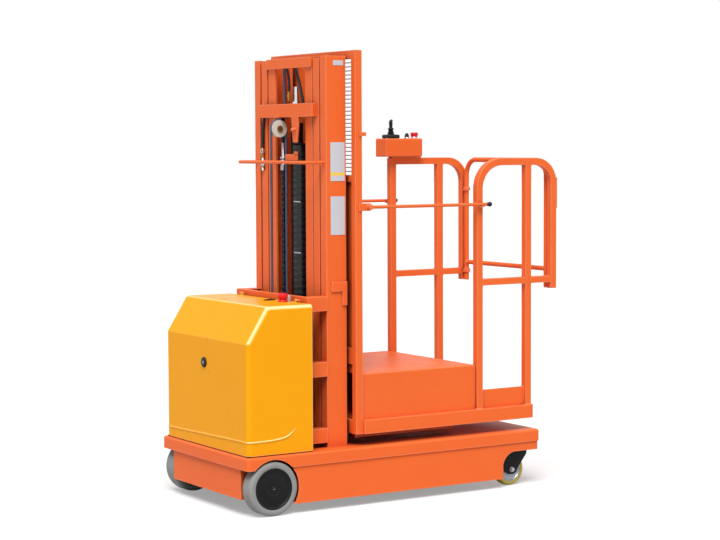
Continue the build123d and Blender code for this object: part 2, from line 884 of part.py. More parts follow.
# Cable carrier: ribbed links that hang from the tab and turn back up
with BuildPart() as cable_carrier:
    y_low = carrier_y - carrier_width / 2
    y_high = carrier_y + carrier_width / 2
    x_back = carrier_x + carrier_depth
    x_return = x_back + 2 * carrier_bend - carrier_depth
    with BuildSketch(Plane.XZ.offset(-y_high)):
        with BuildLine():
            Line((carrier_x, carrier_top), (carrier_x, carrier_bottom))
            ThreePointArc(
                (carrier_x, carrier_bottom),
                ((carrier_x + x_return + carrier_depth) / 2,
                 carrier_bottom - (x_return + carrier_depth - carrier_x) / 2),
                (x_return + carrier_depth, carrier_bottom),
            )
            Line((x_return + carrier_depth, carrier_bottom), (x_return + carrier_depth, carrier_return_top))
            Line((x_return + carrier_depth, carrier_return_top), (x_return, carrier_return_top))
            Line((x_return, carrier_return_top), (x_return, carrier_bottom))
            ThreePointArc(
                (x_return, carrier_bottom),
                ((x_back + x_return) / 2, carrier_bottom - (x_return - x_back) / 2),
                (x_back, carrier_bottom),
            )
            Line((x_back, carrier_bottom), (x_back, carrier_top))
            Line((x_back, carrier_top), (carrier_x, carrier_top))
        make_face()
    extrude(amount=carrier_width)
    link_count = int((carrier_top - carrier_bottom) / carrier_link_pitch)
    for link in range(link_count):
        z_link = carrier_bottom + (link + 0.5) * carrier_link_pitch
        block(
            carrier_x - carrier_rib, carrier_x, y_low, y_high,
            z_link - (carrier_link_pitch - carrier_link_gap) / 2,
            z_link + (carrier_link_pitch - carrier_link_gap) / 2,
        )
    block(
        tie_front + tie_sheet, x_back, tab_y - tab_foot / 2, tab_y + tab_foot / 2,
        carrier_top, carrier_top + tie_sheet,
    )
    block(
        tie_front + tie_sheet, tie_front + 2 * tie_sheet, tab_y - tab_foot / 2, tab_y + tab_foot / 2,
        carrier_top, middle_tie_low - tab_drop / 2,
    )
cable_carrier.part.label = "cable_carrier"
export_step(cable_carrier.part, "parts/cable_carrier.step")

# Hose: up, over the pulley and down beside the chain
with BuildPart() as hoses:
    add(
        pipe(
            [
                (pulley_x - pulley_radius, pulley_y, hose_bottom),
                (pulley_x - pulley_radius, pulley_y, pulley_z + pulley_radius),
                (pulley_x + pulley_radius, pulley_y, pulley_z + pulley_radius),
                (pulley_x + pulley_radius, pulley_y, hose_bottom),
            ],
            [pulley_radius - hose_bend_gap, pulley_radius - hose_bend_gap],
            hose_radius,
        )
    )
hoses.part.label = "hoses"
export_step(hoses.part, "parts/hoses.step")

# Inner stage
inner_front = middle_front + stage_step
inner_back = middle_back - stage_step
inner_low = middle_low + stage_foot
inner_high = mast_top
inner_inside = inner_back - inner_front - 2 * flange_sheet
with BuildPart() as mast_inner:
    stage_channels(inner_half_width, inner_flange, inner_front, inner_back, inner_low, inner_high)
    stage_rollers(
        inner_half_width, middle_half_width - web_sheet - roller_side_gap,
        middle_inside / 2 - roller_gap, mast_mid,
        (inner_low + roller_low, inner_low + roller_low + roller_pitch),
    )
    block(
        inner_front - inner_top_tie_front, inner_front, -inner_half_width, inner_half_width,
        inner_high - inner_top_tie_height, inner_high,
    )
    z_foot = inner_low + inner_foot_low
    block(
        inner_front - inner_foot_reach, inner_front - inner_foot_gap, -inner_half_width,
        inner_half_width, z_foot, z_foot + inner_foot_height,
    )
    for _, side in sides:
        block(
            inner_front - inner_foot_gap, inner_front, side * (inner_half_width - inner_flange),
            side * inner_half_width, z_foot, z_foot + inner_foot_height,
        )
mast_inner.part.label = "mast_inner"
export_step(mast_inner.part, "parts/mast_inner.step")

# Cover frame: posts and braces in front of the mast, tied by a crossbar at the top
with BuildPart() as cover_frame:
    y_brace = mast_half_width + brace_proud
    for _, side in sides:
        block(
            cover_post_x, cover_post_x + cover_post_depth, side * (y_brace - brace_width),
            side * y_brace, deck_top, brace_lows[-1] + brace_height,
        )
        for z_brace in brace_lows:
            block(
                cover_post_x, mast_front, side * (y_brace - brace_sheet), side * y_brace,
                z_brace, z_brace + brace_height,
            )
            block(
                cover_post_x, mast_front, side * (y_brace - brace_width), side * y_brace,
                z_brace + brace_height - brace_sheet, z_brace + brace_height,
            )
    block(
        cover_post_x, cover_post_x + cover_post_depth, -y_brace, y_brace,
        brace_lows[-1], brace_lows[-1] + brace_height,
    )
    for _, side in sides:
        y_fix = side * (hinge_y + hinge_knuckle + hinge_gap)
        block(
            hinge_x, cover_post_x, y_fix, y_fix + side * hinge_knuckle,
            hinge_z - hinge_leaf_half, hinge_z + hinge_leaf_half,
        )
        rod_y(
            hinge_x, hinge_z, y_fix, y_fix + side * hinge_knuckle, hinge_radius,
        )
        rod_y(
            hinge_x, hinge_z, side * hinge_y, y_fix, hinge_pin_radius,
        )
cover_frame.part.label = "cover_frame"
export_step(cover_frame.part, "parts/cover_frame.step")

# U-shaped guard bar round the mast's front
with BuildPart() as guard_bar:
    add(
        pipe(
            [
                (mast_front, -guard_bar_half, guard_bar_z),
                (mast_front - guard_bar_reach, -guard_bar_half, guard_bar_z),
                (mast_front - guard_bar_reach, guard_bar_half, guard_bar_z),
                (mast_front, guard_bar_half, guard_bar_z),
            ],
            [guard_bar_bend, guard_bar_bend],
            guard_bar_radius,
        )
    )
guard_bar.part.label = "guard_bar"
export_step(guard_bar.part, "parts/guard_bar.step")

# Battery and pump with its tank: plain heavy blocks under the cover
with BuildPart() as battery:
    block(
        battery_x - battery_length / 2, battery_x + battery_length / 2, -battery_width / 2,
        battery_width / 2, deck_top, deck_top + battery_height,
    )
battery.part.label = "battery"
export_step(battery.part, "parts/battery.step")

with BuildPart() as pump_unit:
    block(
        battery_x - pump_length / 2, battery_x + pump_length / 2, -pump_width / 2, pump_width / 2,
        deck_top + battery_height, deck_top + battery_height + pump_height,
    )
pump_unit.part.label = "pump_unit"
export_step(pump_unit.part, "parts/pump_unit.step")

# Blank plates and the stop bracket on the near face of the mast
with BuildPart() as column_plates:
    for z_low, z_high in plate_spans:
        block(
            plate_x_low, plate_x_high, -mast_half_width - plate_sheet, -mast_half_width, z_low, z_high,
        )
    block(
        mast_front + small_plate_front_gap, mast_back - small_plate_back_gap,
        -mast_half_width - plate_sheet, -mast_half_width, small_plate_low, small_plate_high,
    )
column_plates.part.label = "column_plates"
export_step(column_plates.part, "parts/column_plates.step")

with BuildPart() as column_stop:
    block(
        plate_x_low, mast_back, -mast_half_width - stop_plate_sheet, -mast_half_width,
        stop_plate_low, stop_plate_high,
    )
    block(
        stop_lug_x, mast_back, -mast_half_width - stop_plate_sheet, -mast_half_width,
        stop_lug_low, stop_plate_low,
    )
column_stop.part.label = "column_stop"
export_step(column_stop.part, "parts/column_stop.step")

# Drive cover: a hood open towards the mast, hinged at its top edge
cover_low = deck_top + cover_seat


def cover_shape(inset):
    """The cover's outside form, or the hollow inside it when inset by its wall."""
    with BuildPart() as shape:
        with BuildSketch(Plane.XZ.offset(inset - cover_half_width)):
            with BuildLine():
                Polyline(
                    (cover_x_front, cover_low - 2 * inset),
                    (cover_x_front, cover_crease),
                    (cover_x_front + cover_slant, cover_top),
                    (cover_x_back + 2 * inset, cover_top),
                    (cover_x_back + 2 * inset, cover_low - 2 * inset),
                    close=True,
                )
            make_face()
            if inset:
                offset(amount=-inset, kind=Kind.INTERSECTION)
        extrude(amount=2 * (cover_half_width - inset))
        shaped = shape.edges().filter_by(
            lambda edge: edge.center().X < cover_x_back - cut_over
            and edge.center().Z > cover_low + cut_over
        )
        fillet(shaped, cover_round - inset)
    return shape.part


with BuildPart() as drive_cover:
    add(cover_shape(0))
    add(cover_shape(cover_sheet), mode=Mode.SUBTRACT)
    for _, side in sides:
        block(
            cover_x_back - hinge_fold, hinge_x, side * hinge_y, side * (hinge_y + hinge_knuckle),
            cover_top - cover_sheet, hinge_z - hinge_pin_radius,
        )
        rod_y(hinge_x, hinge_z, side * hinge_y, side * (hinge_y + hinge_knuckle), hinge_radius)
        rod_y(
            hinge_x, hinge_z, side * hinge_y, side * (hinge_y + hinge_knuckle),
            hinge_pin_radius + running_gap, mode=Mode.SUBTRACT,
        )
drive_cover.part.label = "drive_cover"
export_step(drive_cover.part, "parts/drive_cover.step")

with BuildPart() as cover_lock:
    rod_x(lock_y, lock_z, cover_x_front - lock_proud, cover_x_front, lock_radius)
    rod_x(
        lock_y, lock_z, cover_x_front - lock_proud, cover_x_front - lock_proud / 2, lock_radius / 2,
        mode=Mode.SUBTRACT,
    )
cover_lock.part.label = "cover_lock"
export_step(cover_lock.part, "parts/cover_lock.step")

with BuildPart() as cover_stop:
    rod_z(stop_x, stop_y, cover_top, cover_top + stop_height / 2, stop_radius * button_stem_share)
    rod_z(stop_x, stop_y, cover_top + stop_height / 2, cover_top + stop_height, stop_radius)
    fillet(cover_stop.edges().sort_by(Axis.Z)[-1], stop_radius / 4)
cover_stop.part.label = "cover_stop"
export_step(cover_stop.part, "parts/cover_stop.step")

with BuildPart() as cover_switch:
    with BuildSketch(Plane.XY.offset(cover_top)):
        with Locations((switch_x, switch_y)):
            SlotOverall(switch_length, switch_width)
    extrude(amount=switch_proud)
cover_switch.part.label = "cover_switch"
export_step(cover_switch.part, "parts/cover_switch.step")

# Carriage: the operator guard's frame, with the plates and rollers that run in the inner stage
y_post = guard_half_width - guard_post
mesh_x = guard_back - mesh_back_inset
with BuildPart() as carriage:
    for _, side in sides:
        block(
            guard_front, guard_back, side * y_post, side * guard_half_width, guard_bottom, guard_top,
        )
        y_plate = side * carriage_plate_y
        block(
            inner_front + flange_sheet + roller_gap, guard_front, y_plate,
            y_plate + side * carriage_plate_sheet, carriage_plate_low, carriage_plate_high,
        )
        for z_roller in (
            carriage_plate_low + carriage_roller_inset, carriage_plate_high - carriage_roller_inset,
        ):
            y_track = side * (inner_half_width - web_sheet - roller_side_gap)
            rod_y(mast_mid, z_roller, y_plate, y_track, stub_radius)
            rod_y(
                mast_mid, z_roller, y_track - side * roller_length, y_track,
                inner_inside / 2 - roller_gap,
            )
    for z_low, height in (
        (low_bar_low, low_bar),
        (panel_bar_low, panel_bar),
        (mesh_bottom_bar_low, mesh_bottom_bar),
        (guard_top - guard_top_bar, guard_top_bar),
    ):
        block(guard_front, guard_back, -y_post, y_post, z_low, z_low + height)
    block(
        mesh_x - panel_sheet / 2, mesh_x + panel_sheet / 2, -y_post, y_post, table_top, panel_bar_low,
    )
    for _, side in sides:
        block(
            guard_front - tie_sheet, guard_front, side * carriage_plate_y,
            side * (carriage_plate_y + 2 * carriage_plate_sheet), low_bar_low, carriage_plate_high,
        )
carriage.part.label = "carriage"
export_step(carriage.part, "parts/carriage.step")

mesh_low = mesh_bottom_bar_low + mesh_bottom_bar
mesh_high = guard_top - guard_top_bar
mesh_rows = round((mesh_high - mesh_low) / mesh_pitch)
mesh_columns = round(2 * y_post / mesh_column_pitch)
row_pitch = (mesh_high - mesh_low) / mesh_rows
column_pitch = 2 * y_post / mesh_columns
with BuildPart() as guard_mesh:
    with BuildSketch(Plane.YZ.offset(mesh_x - mesh_wire / 2)):
        with Locations((0, (mesh_low + mesh_high) / 2)):
            Rectangle(2 * y_post, mesh_high - mesh_low)
            with GridLocations(column_pitch, row_pitch, mesh_columns, mesh_rows):
                Rectangle(column_pitch - mesh_wire, row_pitch - mesh_wire, mode=Mode.SUBTRACT)
    extrude(amount=mesh_wire)
guard_mesh.part.label = "guard_mesh"
export_step(guard_mesh.part, "parts/guard_mesh.step")

with BuildPart() as guard_panel:
    block(
        mesh_x - panel_sheet / 2, mesh_x + panel_sheet / 2, -y_post, y_post,
        panel_bar_low + panel_bar, mesh_bottom_bar_low,
    )
    block(
        mesh_x - mesh_wire / 2 - panel_sheet, mesh_x - mesh_wire / 2, -back_plate_half, back_plate_half,
        mesh_low, mesh_high,
    )
guard_panel.part.label = "guard_panel"
export_step(guard_panel.part, "parts/guard_panel.step")

# Platform floor: a folded tray, turned down round its edge
floor_start = guard_back
with BuildPart() as platform_floor:
    with BuildSketch(Plane.XY.offset(skirt_low)):
        with Locations(((floor_start + floor_end) / 2, 0)):
            Rectangle(floor_end - floor_start, 2 * floor_half_width)
    extrude(amount=floor_top - skirt_low)
    corners = platform_floor.edges().filter_by(Axis.Z).group_by(Axis.X)[-1]
    fillet(corners, floor_corner)
    fillet(platform_floor.faces().sort_by(Axis.Z)[-1].edges().filter_by(
        lambda edge: edge.center().X > floor_start + cut_over), floor_sheet)
    with BuildSketch(Plane.XY.offset(skirt_low)):
        with Locations(((floor_start + floor_end) / 2, 0)):
            RectangleRounded(
                floor_end - floor_start - 2 * floor_sheet, 2 * (floor_half_width - floor_sheet),
                floor_corner - floor_sheet,
            )
    extrude(amount=floor_top - skirt_low - floor_sheet, mode=Mode.SUBTRACT)
platform_floor.part.label = "platform_floor"
export_step(platform_floor.part, "parts/platform_floor.step")

with BuildPart() as fork_arms:
    for _, side in sides:
        block(
            guard_back, arm_end, side * (arm_y - arm_width / 2), side * (arm_y + arm_width / 2),
            arm_low, skirt_low,
        )
        block(
            guard_back + floor_sheet, arm_end, side * (arm_y - arm_width / 4),
            side * (arm_y + arm_width / 4), skirt_low, floor_top - floor_sheet,
        )
fork_arms.part.label = "fork_arms"
export_step(fork_arms.part, "parts/fork_arms.step")

# Load table: a box over the floor, closed at the operator's end
with BuildPart() as load_table:
    block(guard_back, table_end, -table_half_width, table_half_width, floor_top, table_top)
    fillet(
        load_table.edges().filter_by(
            lambda edge: edge.center().Z > table_top - cut_over
            and edge.center().X > guard_back + cut_over
        ),
        table_edge,
    )
    block(
        guard_back, table_end - table_sheet, -table_half_width + table_sheet,
        table_half_width - table_sheet, floor_top, table_top - table_sheet, mode=Mode.SUBTRACT,
    )
load_table.part.label = "load_table"
export_step(load_table.part, "parts/load_table.step")

# Side rails of square tube, with their toe boards: the near one is bent down to its first
# post, the far one ends square over it, under the control box
z_rail = rail_top - rail_half
tail_ends = ((tail_x, z_rail), (tail_x, tail_bottom))
rail_paths = {
    "near": (((post_one_x, floor_top), (post_one_x, z_rail), *tail_ends), [rail_bend, tail_bend]),
    "far": (((post_one_x - rail_half, z_rail), *tail_ends), [tail_bend]),
}
rail_posts = {"near": (post_two_x,), "far": (post_one_x, post_two_x)}
for name, side in sides:
    y_rail = side * rail_y
    rail_points, rail_bends = rail_paths[name]
    with BuildPart() as rail:
        add(square_tube([(x, y_rail, z) for x, z in rail_points], rail_bends, rail_half))
        for x_post in rail_posts[name]:
            block(
                x_post - rail_half, x_post + rail_half, y_rail - rail_half, y_rail + rail_half,
                floor_top, z_rail,
            )
        block(
            post_one_x, tail_x, y_rail - mid_rail_half, y_rail + mid_rail_half,
            mid_rail_z - mid_rail_half, mid_rail_z + mid_rail_half,
        )
        block(
            post_one_x, post_two_x, y_rail - toe_sheet / 2, y_rail + toe_sheet / 2,
            floor_top, floor_top + toe_height,
        )
        block(
            post_one_x - saddle_length / 2, post_one_x + saddle_length / 2, y_rail,
            side * (bar_y + bar_radius), bar_z - bar_radius - saddle_gap - saddle_sheet,
            bar_z - bar_radius - saddle_gap,
        )
    rail.part.label = f"rail_{name}"
    export_step(rail.part, f"parts/rail_{name}.step")

# Gate brackets on the far tail, and the latch strip on the near tail
with BuildPart() as gate_brackets:
    for z_ring in gate_ring_zs:
        block(
            tail_x - rail_half / 2, tail_x + rail_half / 2, gate_half + gate_radius,
            rail_y - rail_half, z_ring, z_ring + gate_ring_sheet,
        )
        rod_z(gate_x, gate_half, z_ring, z_ring + gate_ring_sheet, gate_ring_radius)
        rod_z(
            gate_x, gate_half, z_ring, z_ring + gate_ring_sheet, gate_radius + running_gap,
            mode=Mode.SUBTRACT,
        )
gate_brackets.part.label = "gate_brackets"
export_step(gate_brackets.part, "parts/gate_brackets.step")

with BuildPart() as latch_strip:
    block(
        x_rear - strip_sheet, x_rear, -rail_y - rail_half, -rail_y - rail_half + strip_width,
        strip_low, strip_high,
    )
latch_strip.part.label = "latch_strip"
export_step(latch_strip.part, "parts/latch_strip.step")

# Rear gate: one bent tube with a mid rail, turning in the brackets
with BuildPart() as rear_gate:
    z_gate = rail_top - gate_radius
    add(
        pipe(
            [
                (gate_x, -gate_half, tail_bottom),
                (gate_x, -gate_half, z_gate),
                (gate_x, gate_half, z_gate),
                (gate_x, gate_half, tail_bottom),
            ],
            [gate_bend, gate_bend],
            gate_radius,
        )
    )
    with Locations(Location((gate_x, 0, gate_mid_z), (90, 0, 0))):
        Cylinder(gate_mid_radius, 2 * gate_half)
    for z_ring in gate_ring_zs:
        rod_z(
            gate_x, gate_half, z_ring + gate_ring_sheet + roller_gap,
            z_ring + gate_ring_sheet + roller_gap + gate_collar_height, gate_collar_radius,
        )
rear_gate.part.label = "rear_gate"
export_step(rear_gate.part, "parts/rear_gate.step")

# Side bars: a bracket with a pin on the guard's post, and the bar with its knob
for name, side in sides:
    y_bar = side * bar_y
    y_eye_in = side * (bar_y - bar_eye_width / 2)
    y_eye_out = side * (bar_y + bar_eye_width / 2)
    y_face = side * guard_half_width
    with BuildPart() as bar_bracket:
        block(
            guard_front + guard_post / 2, bar_pivot_x + bar_eye_radius, y_face,
            y_face + side * bar_bracket_sheet, bar_z - bar_bracket_height / 2,
            bar_z + bar_bracket_height / 2,
        )
        rod_y(bar_pivot_x, bar_z, y_face, y_eye_out, bar_pin_radius)
        rod_y(bar_pivot_x, bar_z, y_face, y_eye_in - side * roller_gap, bar_eye_radius)
        block(
            guard_back - guard_post / 2, guard_back + keeper_reach, y_face,
            y_face + side * bar_bracket_sheet, keeper_z - keeper_radius, keeper_z + keeper_radius,
        )
    bar_bracket.part.label = f"bar_bracket_{name}"
    export_step(bar_bracket.part, f"parts/bar_bracket_{name}.step")

    with BuildPart() as side_bar:
        rod_x(y_bar, bar_z, bar_pivot_x + bar_pin_radius, bar_end, bar_radius)
        rod_y(bar_pivot_x, bar_z, y_eye_in, y_eye_out, bar_eye_radius)
        rod_y(
            bar_pivot_x, bar_z, y_eye_in, y_eye_out, bar_pin_radius + running_gap, mode=Mode.SUBTRACT,
        )
    side_bar.part.label = f"side_bar_{name}"
    export_step(side_bar.part, f"parts/side_bar_{name}.step")

    with BuildPart() as bar_knob:
        with Locations((bar_end + knob_radius, y_bar, bar_z)):
            Sphere(knob_radius)
        block(
            bar_end - knob_flat, bar_end, y_bar - knob_radius, y_bar + knob_radius, bar_z - knob_radius,
            bar_z + knob_radius, mode=Mode.SUBTRACT,
        )
    bar_knob.part.label = f"bar_knob_{name}"
    export_step(bar_knob.part, f"parts/bar_knob_{name}.step")

# Control box on its clamp over the far rail
with BuildPart() as control_box:
    block(box_x_low, box_x_high, box_y_low, box_y_high, box_low, box_high)
    fillet(control_box.edges(), box_round)
control_box.part.label = "control_box"
export_step(control_box.part, "parts/control_box.step")

with BuildPart() as box_clamp:
    x_mid = (box_x_low + box_x_high) / 2 + box_clamp_shift
    block(
        x_mid - box_clamp_length / 2, x_mid + box_clamp_length / 2, rail_y - rail_half,
        rail_y + rail_half, rail_top, box_low,
    )
box_clamp.part.label = "box_clamp"
export_step(box_clamp.part, "parts/box_clamp.step")

with BuildPart() as control_stick:
    block(
        stick_x - stick_base / 2, stick_x + stick_base / 2, stick_y - stick_base / 2,
        stick_y + stick_base / 2, box_high, box_high + stick_base_height,
    )
    fillet(control_stick.edges().filter_by(Axis.Z), box_round)
    z_boot = box_high + stick_base_height
    with Locations((stick_x, stick_y, z_boot + stick_boot_height / 2)):
        Cone(stick_boot_radius, stick_boot_top, stick_boot_height)
    rod_z(stick_x, stick_y, z_boot, z_boot + stick_boot_height + stick_grip_height, stick_radius)
    rod_z(
        stick_x, stick_y, z_boot + stick_boot_height, z_boot + stick_boot_height + stick_grip_height,
        stick_grip_radius,
    )
control_stick.part.label = "control_stick"
export_step(control_stick.part, "parts/control_stick.step")

with BuildPart() as control_stop:
    rod_z(
        box_stop_x, box_stop_y, box_high, box_high + box_stop_height / 2,
        box_stop_radius * button_stem_share,
    )
    rod_z(
        box_stop_x, box_stop_y, box_high + box_stop_height / 2, box_high + box_stop_height,
        box_stop_radius,
    )
control_stop.part.label = "control_stop"
export_step(control_stop.part, "parts/control_stop.step")

with BuildPart() as control_switch:
    rod_z(
        box_switch_x, box_stop_y, box_high, box_high + box_stop_height,
        box_stop_radius * button_stem_share,
    )
control_switch.part.label = "control_switch"
export_step(control_switch.part, "parts/control_switch.step")
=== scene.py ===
import bmesh
import bpy
import json
from math import cos, pi, radians, sin
from mathutils import Matrix, Vector


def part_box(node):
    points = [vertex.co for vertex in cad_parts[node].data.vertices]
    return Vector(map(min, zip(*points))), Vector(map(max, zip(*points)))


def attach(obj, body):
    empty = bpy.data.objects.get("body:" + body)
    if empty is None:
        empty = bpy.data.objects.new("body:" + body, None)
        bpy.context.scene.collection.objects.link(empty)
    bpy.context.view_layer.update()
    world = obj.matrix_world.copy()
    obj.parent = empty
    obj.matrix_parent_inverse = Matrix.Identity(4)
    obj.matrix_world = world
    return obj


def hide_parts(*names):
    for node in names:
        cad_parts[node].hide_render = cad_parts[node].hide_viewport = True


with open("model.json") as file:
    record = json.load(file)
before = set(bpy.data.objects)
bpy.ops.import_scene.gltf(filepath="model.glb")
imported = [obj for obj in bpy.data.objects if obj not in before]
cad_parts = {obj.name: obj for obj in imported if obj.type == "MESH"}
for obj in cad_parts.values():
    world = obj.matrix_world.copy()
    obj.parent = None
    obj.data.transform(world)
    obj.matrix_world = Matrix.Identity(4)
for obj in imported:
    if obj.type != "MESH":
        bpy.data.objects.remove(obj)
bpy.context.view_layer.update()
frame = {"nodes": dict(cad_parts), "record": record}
nodes = frame["nodes"]
sides = (("near", -1), ("far", 1))


def corners(name):
    """A node's lowest and highest corners at rest, in millimetres."""
    return [[round(value * 1000, 1) for value in corner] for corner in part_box(name)]


def middle(name):
    """The middle of a node's box at rest, in millimetres."""
    return [round((low + high) * 500, 1) for low, high in zip(*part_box(name))]


# Materials

def colour(text):
    """A linear colour from sRGB hex text."""
    values = [int(text[i:i + 2], 16) / 255 for i in (1, 3, 5)]
    return tuple(v / 12.92 if v <= 0.04045 else ((v + 0.055) / 1.055) ** 2.4 for v in values) + (1.0,)


def node(tree, kind, inputs=None, **settings):
    """Add a node with its settings, and link or set its inputs."""
    made = tree.nodes.new(kind)
    for name, value in settings.items():
        setattr(made, name, value)
    for socket, value in (inputs or {}).items():
        if isinstance(value, bpy.types.NodeSocket):
            tree.links.new(value, made.inputs[socket])
        else:
            made.inputs[socket].default_value = value
    return made


def start(name):
    """A new material with its shader and the object's own coordinates."""
    made = bpy.data.materials.new(name)
    made.use_nodes = True
    tree = made.node_tree
    tree.nodes.clear()
    shader = node(tree, "ShaderNodeBsdfPrincipled")
    node(tree, "ShaderNodeOutputMaterial", {"Surface": shader.outputs[0]})
    return made, tree, shader, node(tree, "ShaderNodeTexCoord").outputs["Object"]


def powder_coat(name, coat, painted_highlight, shaded, rough, peel=0.05, fold=None, shine=0.2):
    """Sprayed and baked powder on steel: an even colour with a faint orange peel, a painted highlight along
    its edges and painted shade in its seams.
    """
    made, tree, shader, place = start(name)
    # broad tone of the sprayed coat, patches about 300 mm across
    tone = node(tree, "ShaderNodeTexNoise", {"Vector": place, "Scale": 3.3, "Detail": 2.0})
    even = node(tree, "ShaderNodeMix", {
        0: tone.outputs[0], 6: colour(coat[0]), 7: colour(coat[1])}, data_type="RGBA")
    # painted shade: seams and inside corners within 120 mm are deeper in colour, the narrowest nearly black
    hollow = node(tree, "ShaderNodeAmbientOcclusion", {"Distance": 0.12}, samples=6)
    narrow = node(tree, "ShaderNodeMapRange", {0: hollow.outputs["AO"], 1: 0.0, 2: 0.22})
    painted_shade = node(tree, "ShaderNodeMix", {
        0: narrow.outputs[0], 6: colour(shaded[1]), 7: colour(shaded[0])}, data_type="RGBA")
    seam = node(tree, "ShaderNodeMapRange", {0: hollow.outputs["AO"], 1: 0.1, 2: 0.65})
    held = node(tree, "ShaderNodeMix", {
        0: seam.outputs[0], 6: painted_shade.outputs[2], 7: even.outputs[2]}, data_type="RGBA")
    # painted highlight: pressed and sawn edges are paler over 8 mm, less so where they lie in seams
    faces = node(tree, "ShaderNodeNewGeometry")
    broad = node(tree, "ShaderNodeBevel", {"Radius": 0.008}, samples=4)
    turn = node(tree, "ShaderNodeVectorMath", {
        0: broad.outputs[0], 1: faces.outputs["Normal"]}, operation="DOT_PRODUCT")
    edge = node(tree, "ShaderNodeMapRange", {0: turn.outputs["Value"], 1: 0.99, 2: 0.8, 3: 0.0, 4: 0.5})
    open_edge = node(tree, "ShaderNodeMath", {0: edge.outputs[0], 1: seam.outputs[0]}, operation="MULTIPLY")
    base = node(tree, "ShaderNodeMix", {
        0: open_edge.outputs[0], 6: held.outputs[2], 7: colour(painted_highlight)}, data_type="RGBA")
    if fold:
        # painted highlight on rounded corners that look up: how far they turn from the flat and sloped faces,
        # and how much they face up
        leaning = node(tree, "ShaderNodeTexCoord").outputs["Normal"]
        size = node(tree, "ShaderNodeVectorMath", {0: leaning}, operation="ABSOLUTE")
        parts = node(tree, "ShaderNodeSeparateXYZ", {0: size.outputs[0]})
        level = node(tree, "ShaderNodeMath", {0: parts.outputs[0], 1: parts.outputs[1]}, operation="MAXIMUM")
        flat = node(tree, "ShaderNodeMath", {0: level.outputs[0], 1: parts.outputs[2]}, operation="MAXIMUM")
        slope = node(tree, "ShaderNodeVectorMath", {0: leaning, 1: fold}, operation="DOT_PRODUCT")
        most = node(tree, "ShaderNodeMath", {
            0: flat.outputs[0], 1: slope.outputs["Value"]}, operation="MAXIMUM")
        corner = node(tree, "ShaderNodeMapRange", {0: most.outputs[0], 1: 0.99, 2: 0.86, 3: 0.0, 4: 0.75})
        upward = node(tree, "ShaderNodeSeparateXYZ", {0: leaning})
        lit = node(tree, "ShaderNodeMapRange", {0: upward.outputs[2], 1: 0.08, 2: 0.4})
        pale = node(tree, "ShaderNodeMath", {0: corner.outputs[0], 1: lit.outputs[0]}, operation="MULTIPLY")
        base = node(tree, "ShaderNodeMix", {
            0: pale.outputs[0], 6: base.outputs[2], 7: colour(painted_highlight)}, data_type="RGBA")
    tree.links.new(base.outputs[2], shader.inputs["Base Color"])
    # dust and wiping marks, 150 mm across, change the gloss
    wipe = node(tree, "ShaderNodeTexNoise", {"Vector": place, "Scale": 6.5, "Detail": 4.0, "Roughness": 0.6})
    gloss = node(tree, "ShaderNodeMapRange", {
        0: wipe.outputs[0], 1: 0.3, 2: 0.7, 3: rough - 0.05, 4: rough + 0.08})
    tree.links.new(gloss.outputs[0], shader.inputs["Roughness"])
    # orange peel of 1.5 mm, drawn 7 mm wide so that it shows, over edges rounded by 3 mm
    skin = node(tree, "ShaderNodeTexNoise", {"Vector": place, "Scale": 140.0, "Detail": 1.0})
    rounded = node(tree, "ShaderNodeBevel", {"Radius": 0.003}, samples=4)
    bump = node(tree, "ShaderNodeBump", {
        "Height": skin.outputs[0], "Strength": peel, "Distance": 0.002, "Normal": rounded.outputs[0]})
    tree.links.new(bump.outputs[0], shader.inputs["Normal"])
    shader.inputs["IOR"].default_value = 1.5
    shader.inputs["Specular IOR Level"].default_value = shine
    return made


def moulded(name, light, dark, rough, grain, depth):
    """Moulded plastic or rubber: one colour in faint patches, with a grain of so many millimetres."""
    made, tree, shader, place = start(name)
    # patches about 45 mm across, left by flow in the mould and by hands
    patch = node(tree, "ShaderNodeTexNoise", {"Vector": place, "Scale": 22.0, "Detail": 3.0})
    mix = node(tree, "ShaderNodeMix", {
        0: patch.outputs[0], 6: colour(light), 7: colour(dark)}, data_type="RGBA")
    tree.links.new(mix.outputs[2], shader.inputs["Base Color"])
    skin = node(tree, "ShaderNodeTexNoise", {"Vector": place, "Scale": 1000.0 / grain, "Detail": 2.0})
    bump = node(tree, "ShaderNodeBump", {"Height": skin.outputs[0], "Strength": depth, "Distance": 0.001})
    tree.links.new(bump.outputs[0], shader.inputs["Normal"])
    shade = node(tree, "ShaderNodeMapRange", {0: patch.outputs[0], 3: rough - 0.04, 4: rough + 0.08})
    tree.links.new(shade.outputs[0], shader.inputs["Roughness"])
    shader.inputs["Specular IOR Level"].default_value = 0.3
    return made


def bare_metal(name, light, dark, rough, stretch):
    """Plated or drawn metal: streaks about 3 mm wide along the work, with a soft sheen."""
    made, tree, shader, place = start(name)
    drawn = node(tree, "ShaderNodeMapping", {"Vector": place, "Scale": stretch})
    streak = node(tree, "ShaderNodeTexNoise", {"Vector": drawn.outputs[0], "Scale": 300.0, "Detail": 2.0})
    mix = node(tree, "ShaderNodeMix", {
        0: streak.outputs[0], 6: colour(light), 7: colour(dark)}, data_type="RGBA")
    tree.links.new(mix.outputs[2], shader.inputs["Base Color"])
    shade = node(tree, "ShaderNodeMapRange", {0: streak.outputs[0], 3: rough * 0.8, 4: rough * 1.25})
    tree.links.new(shade.outputs[0], shader.inputs["Roughness"])
    shader.inputs["Metallic"].default_value = 1.0
    return made


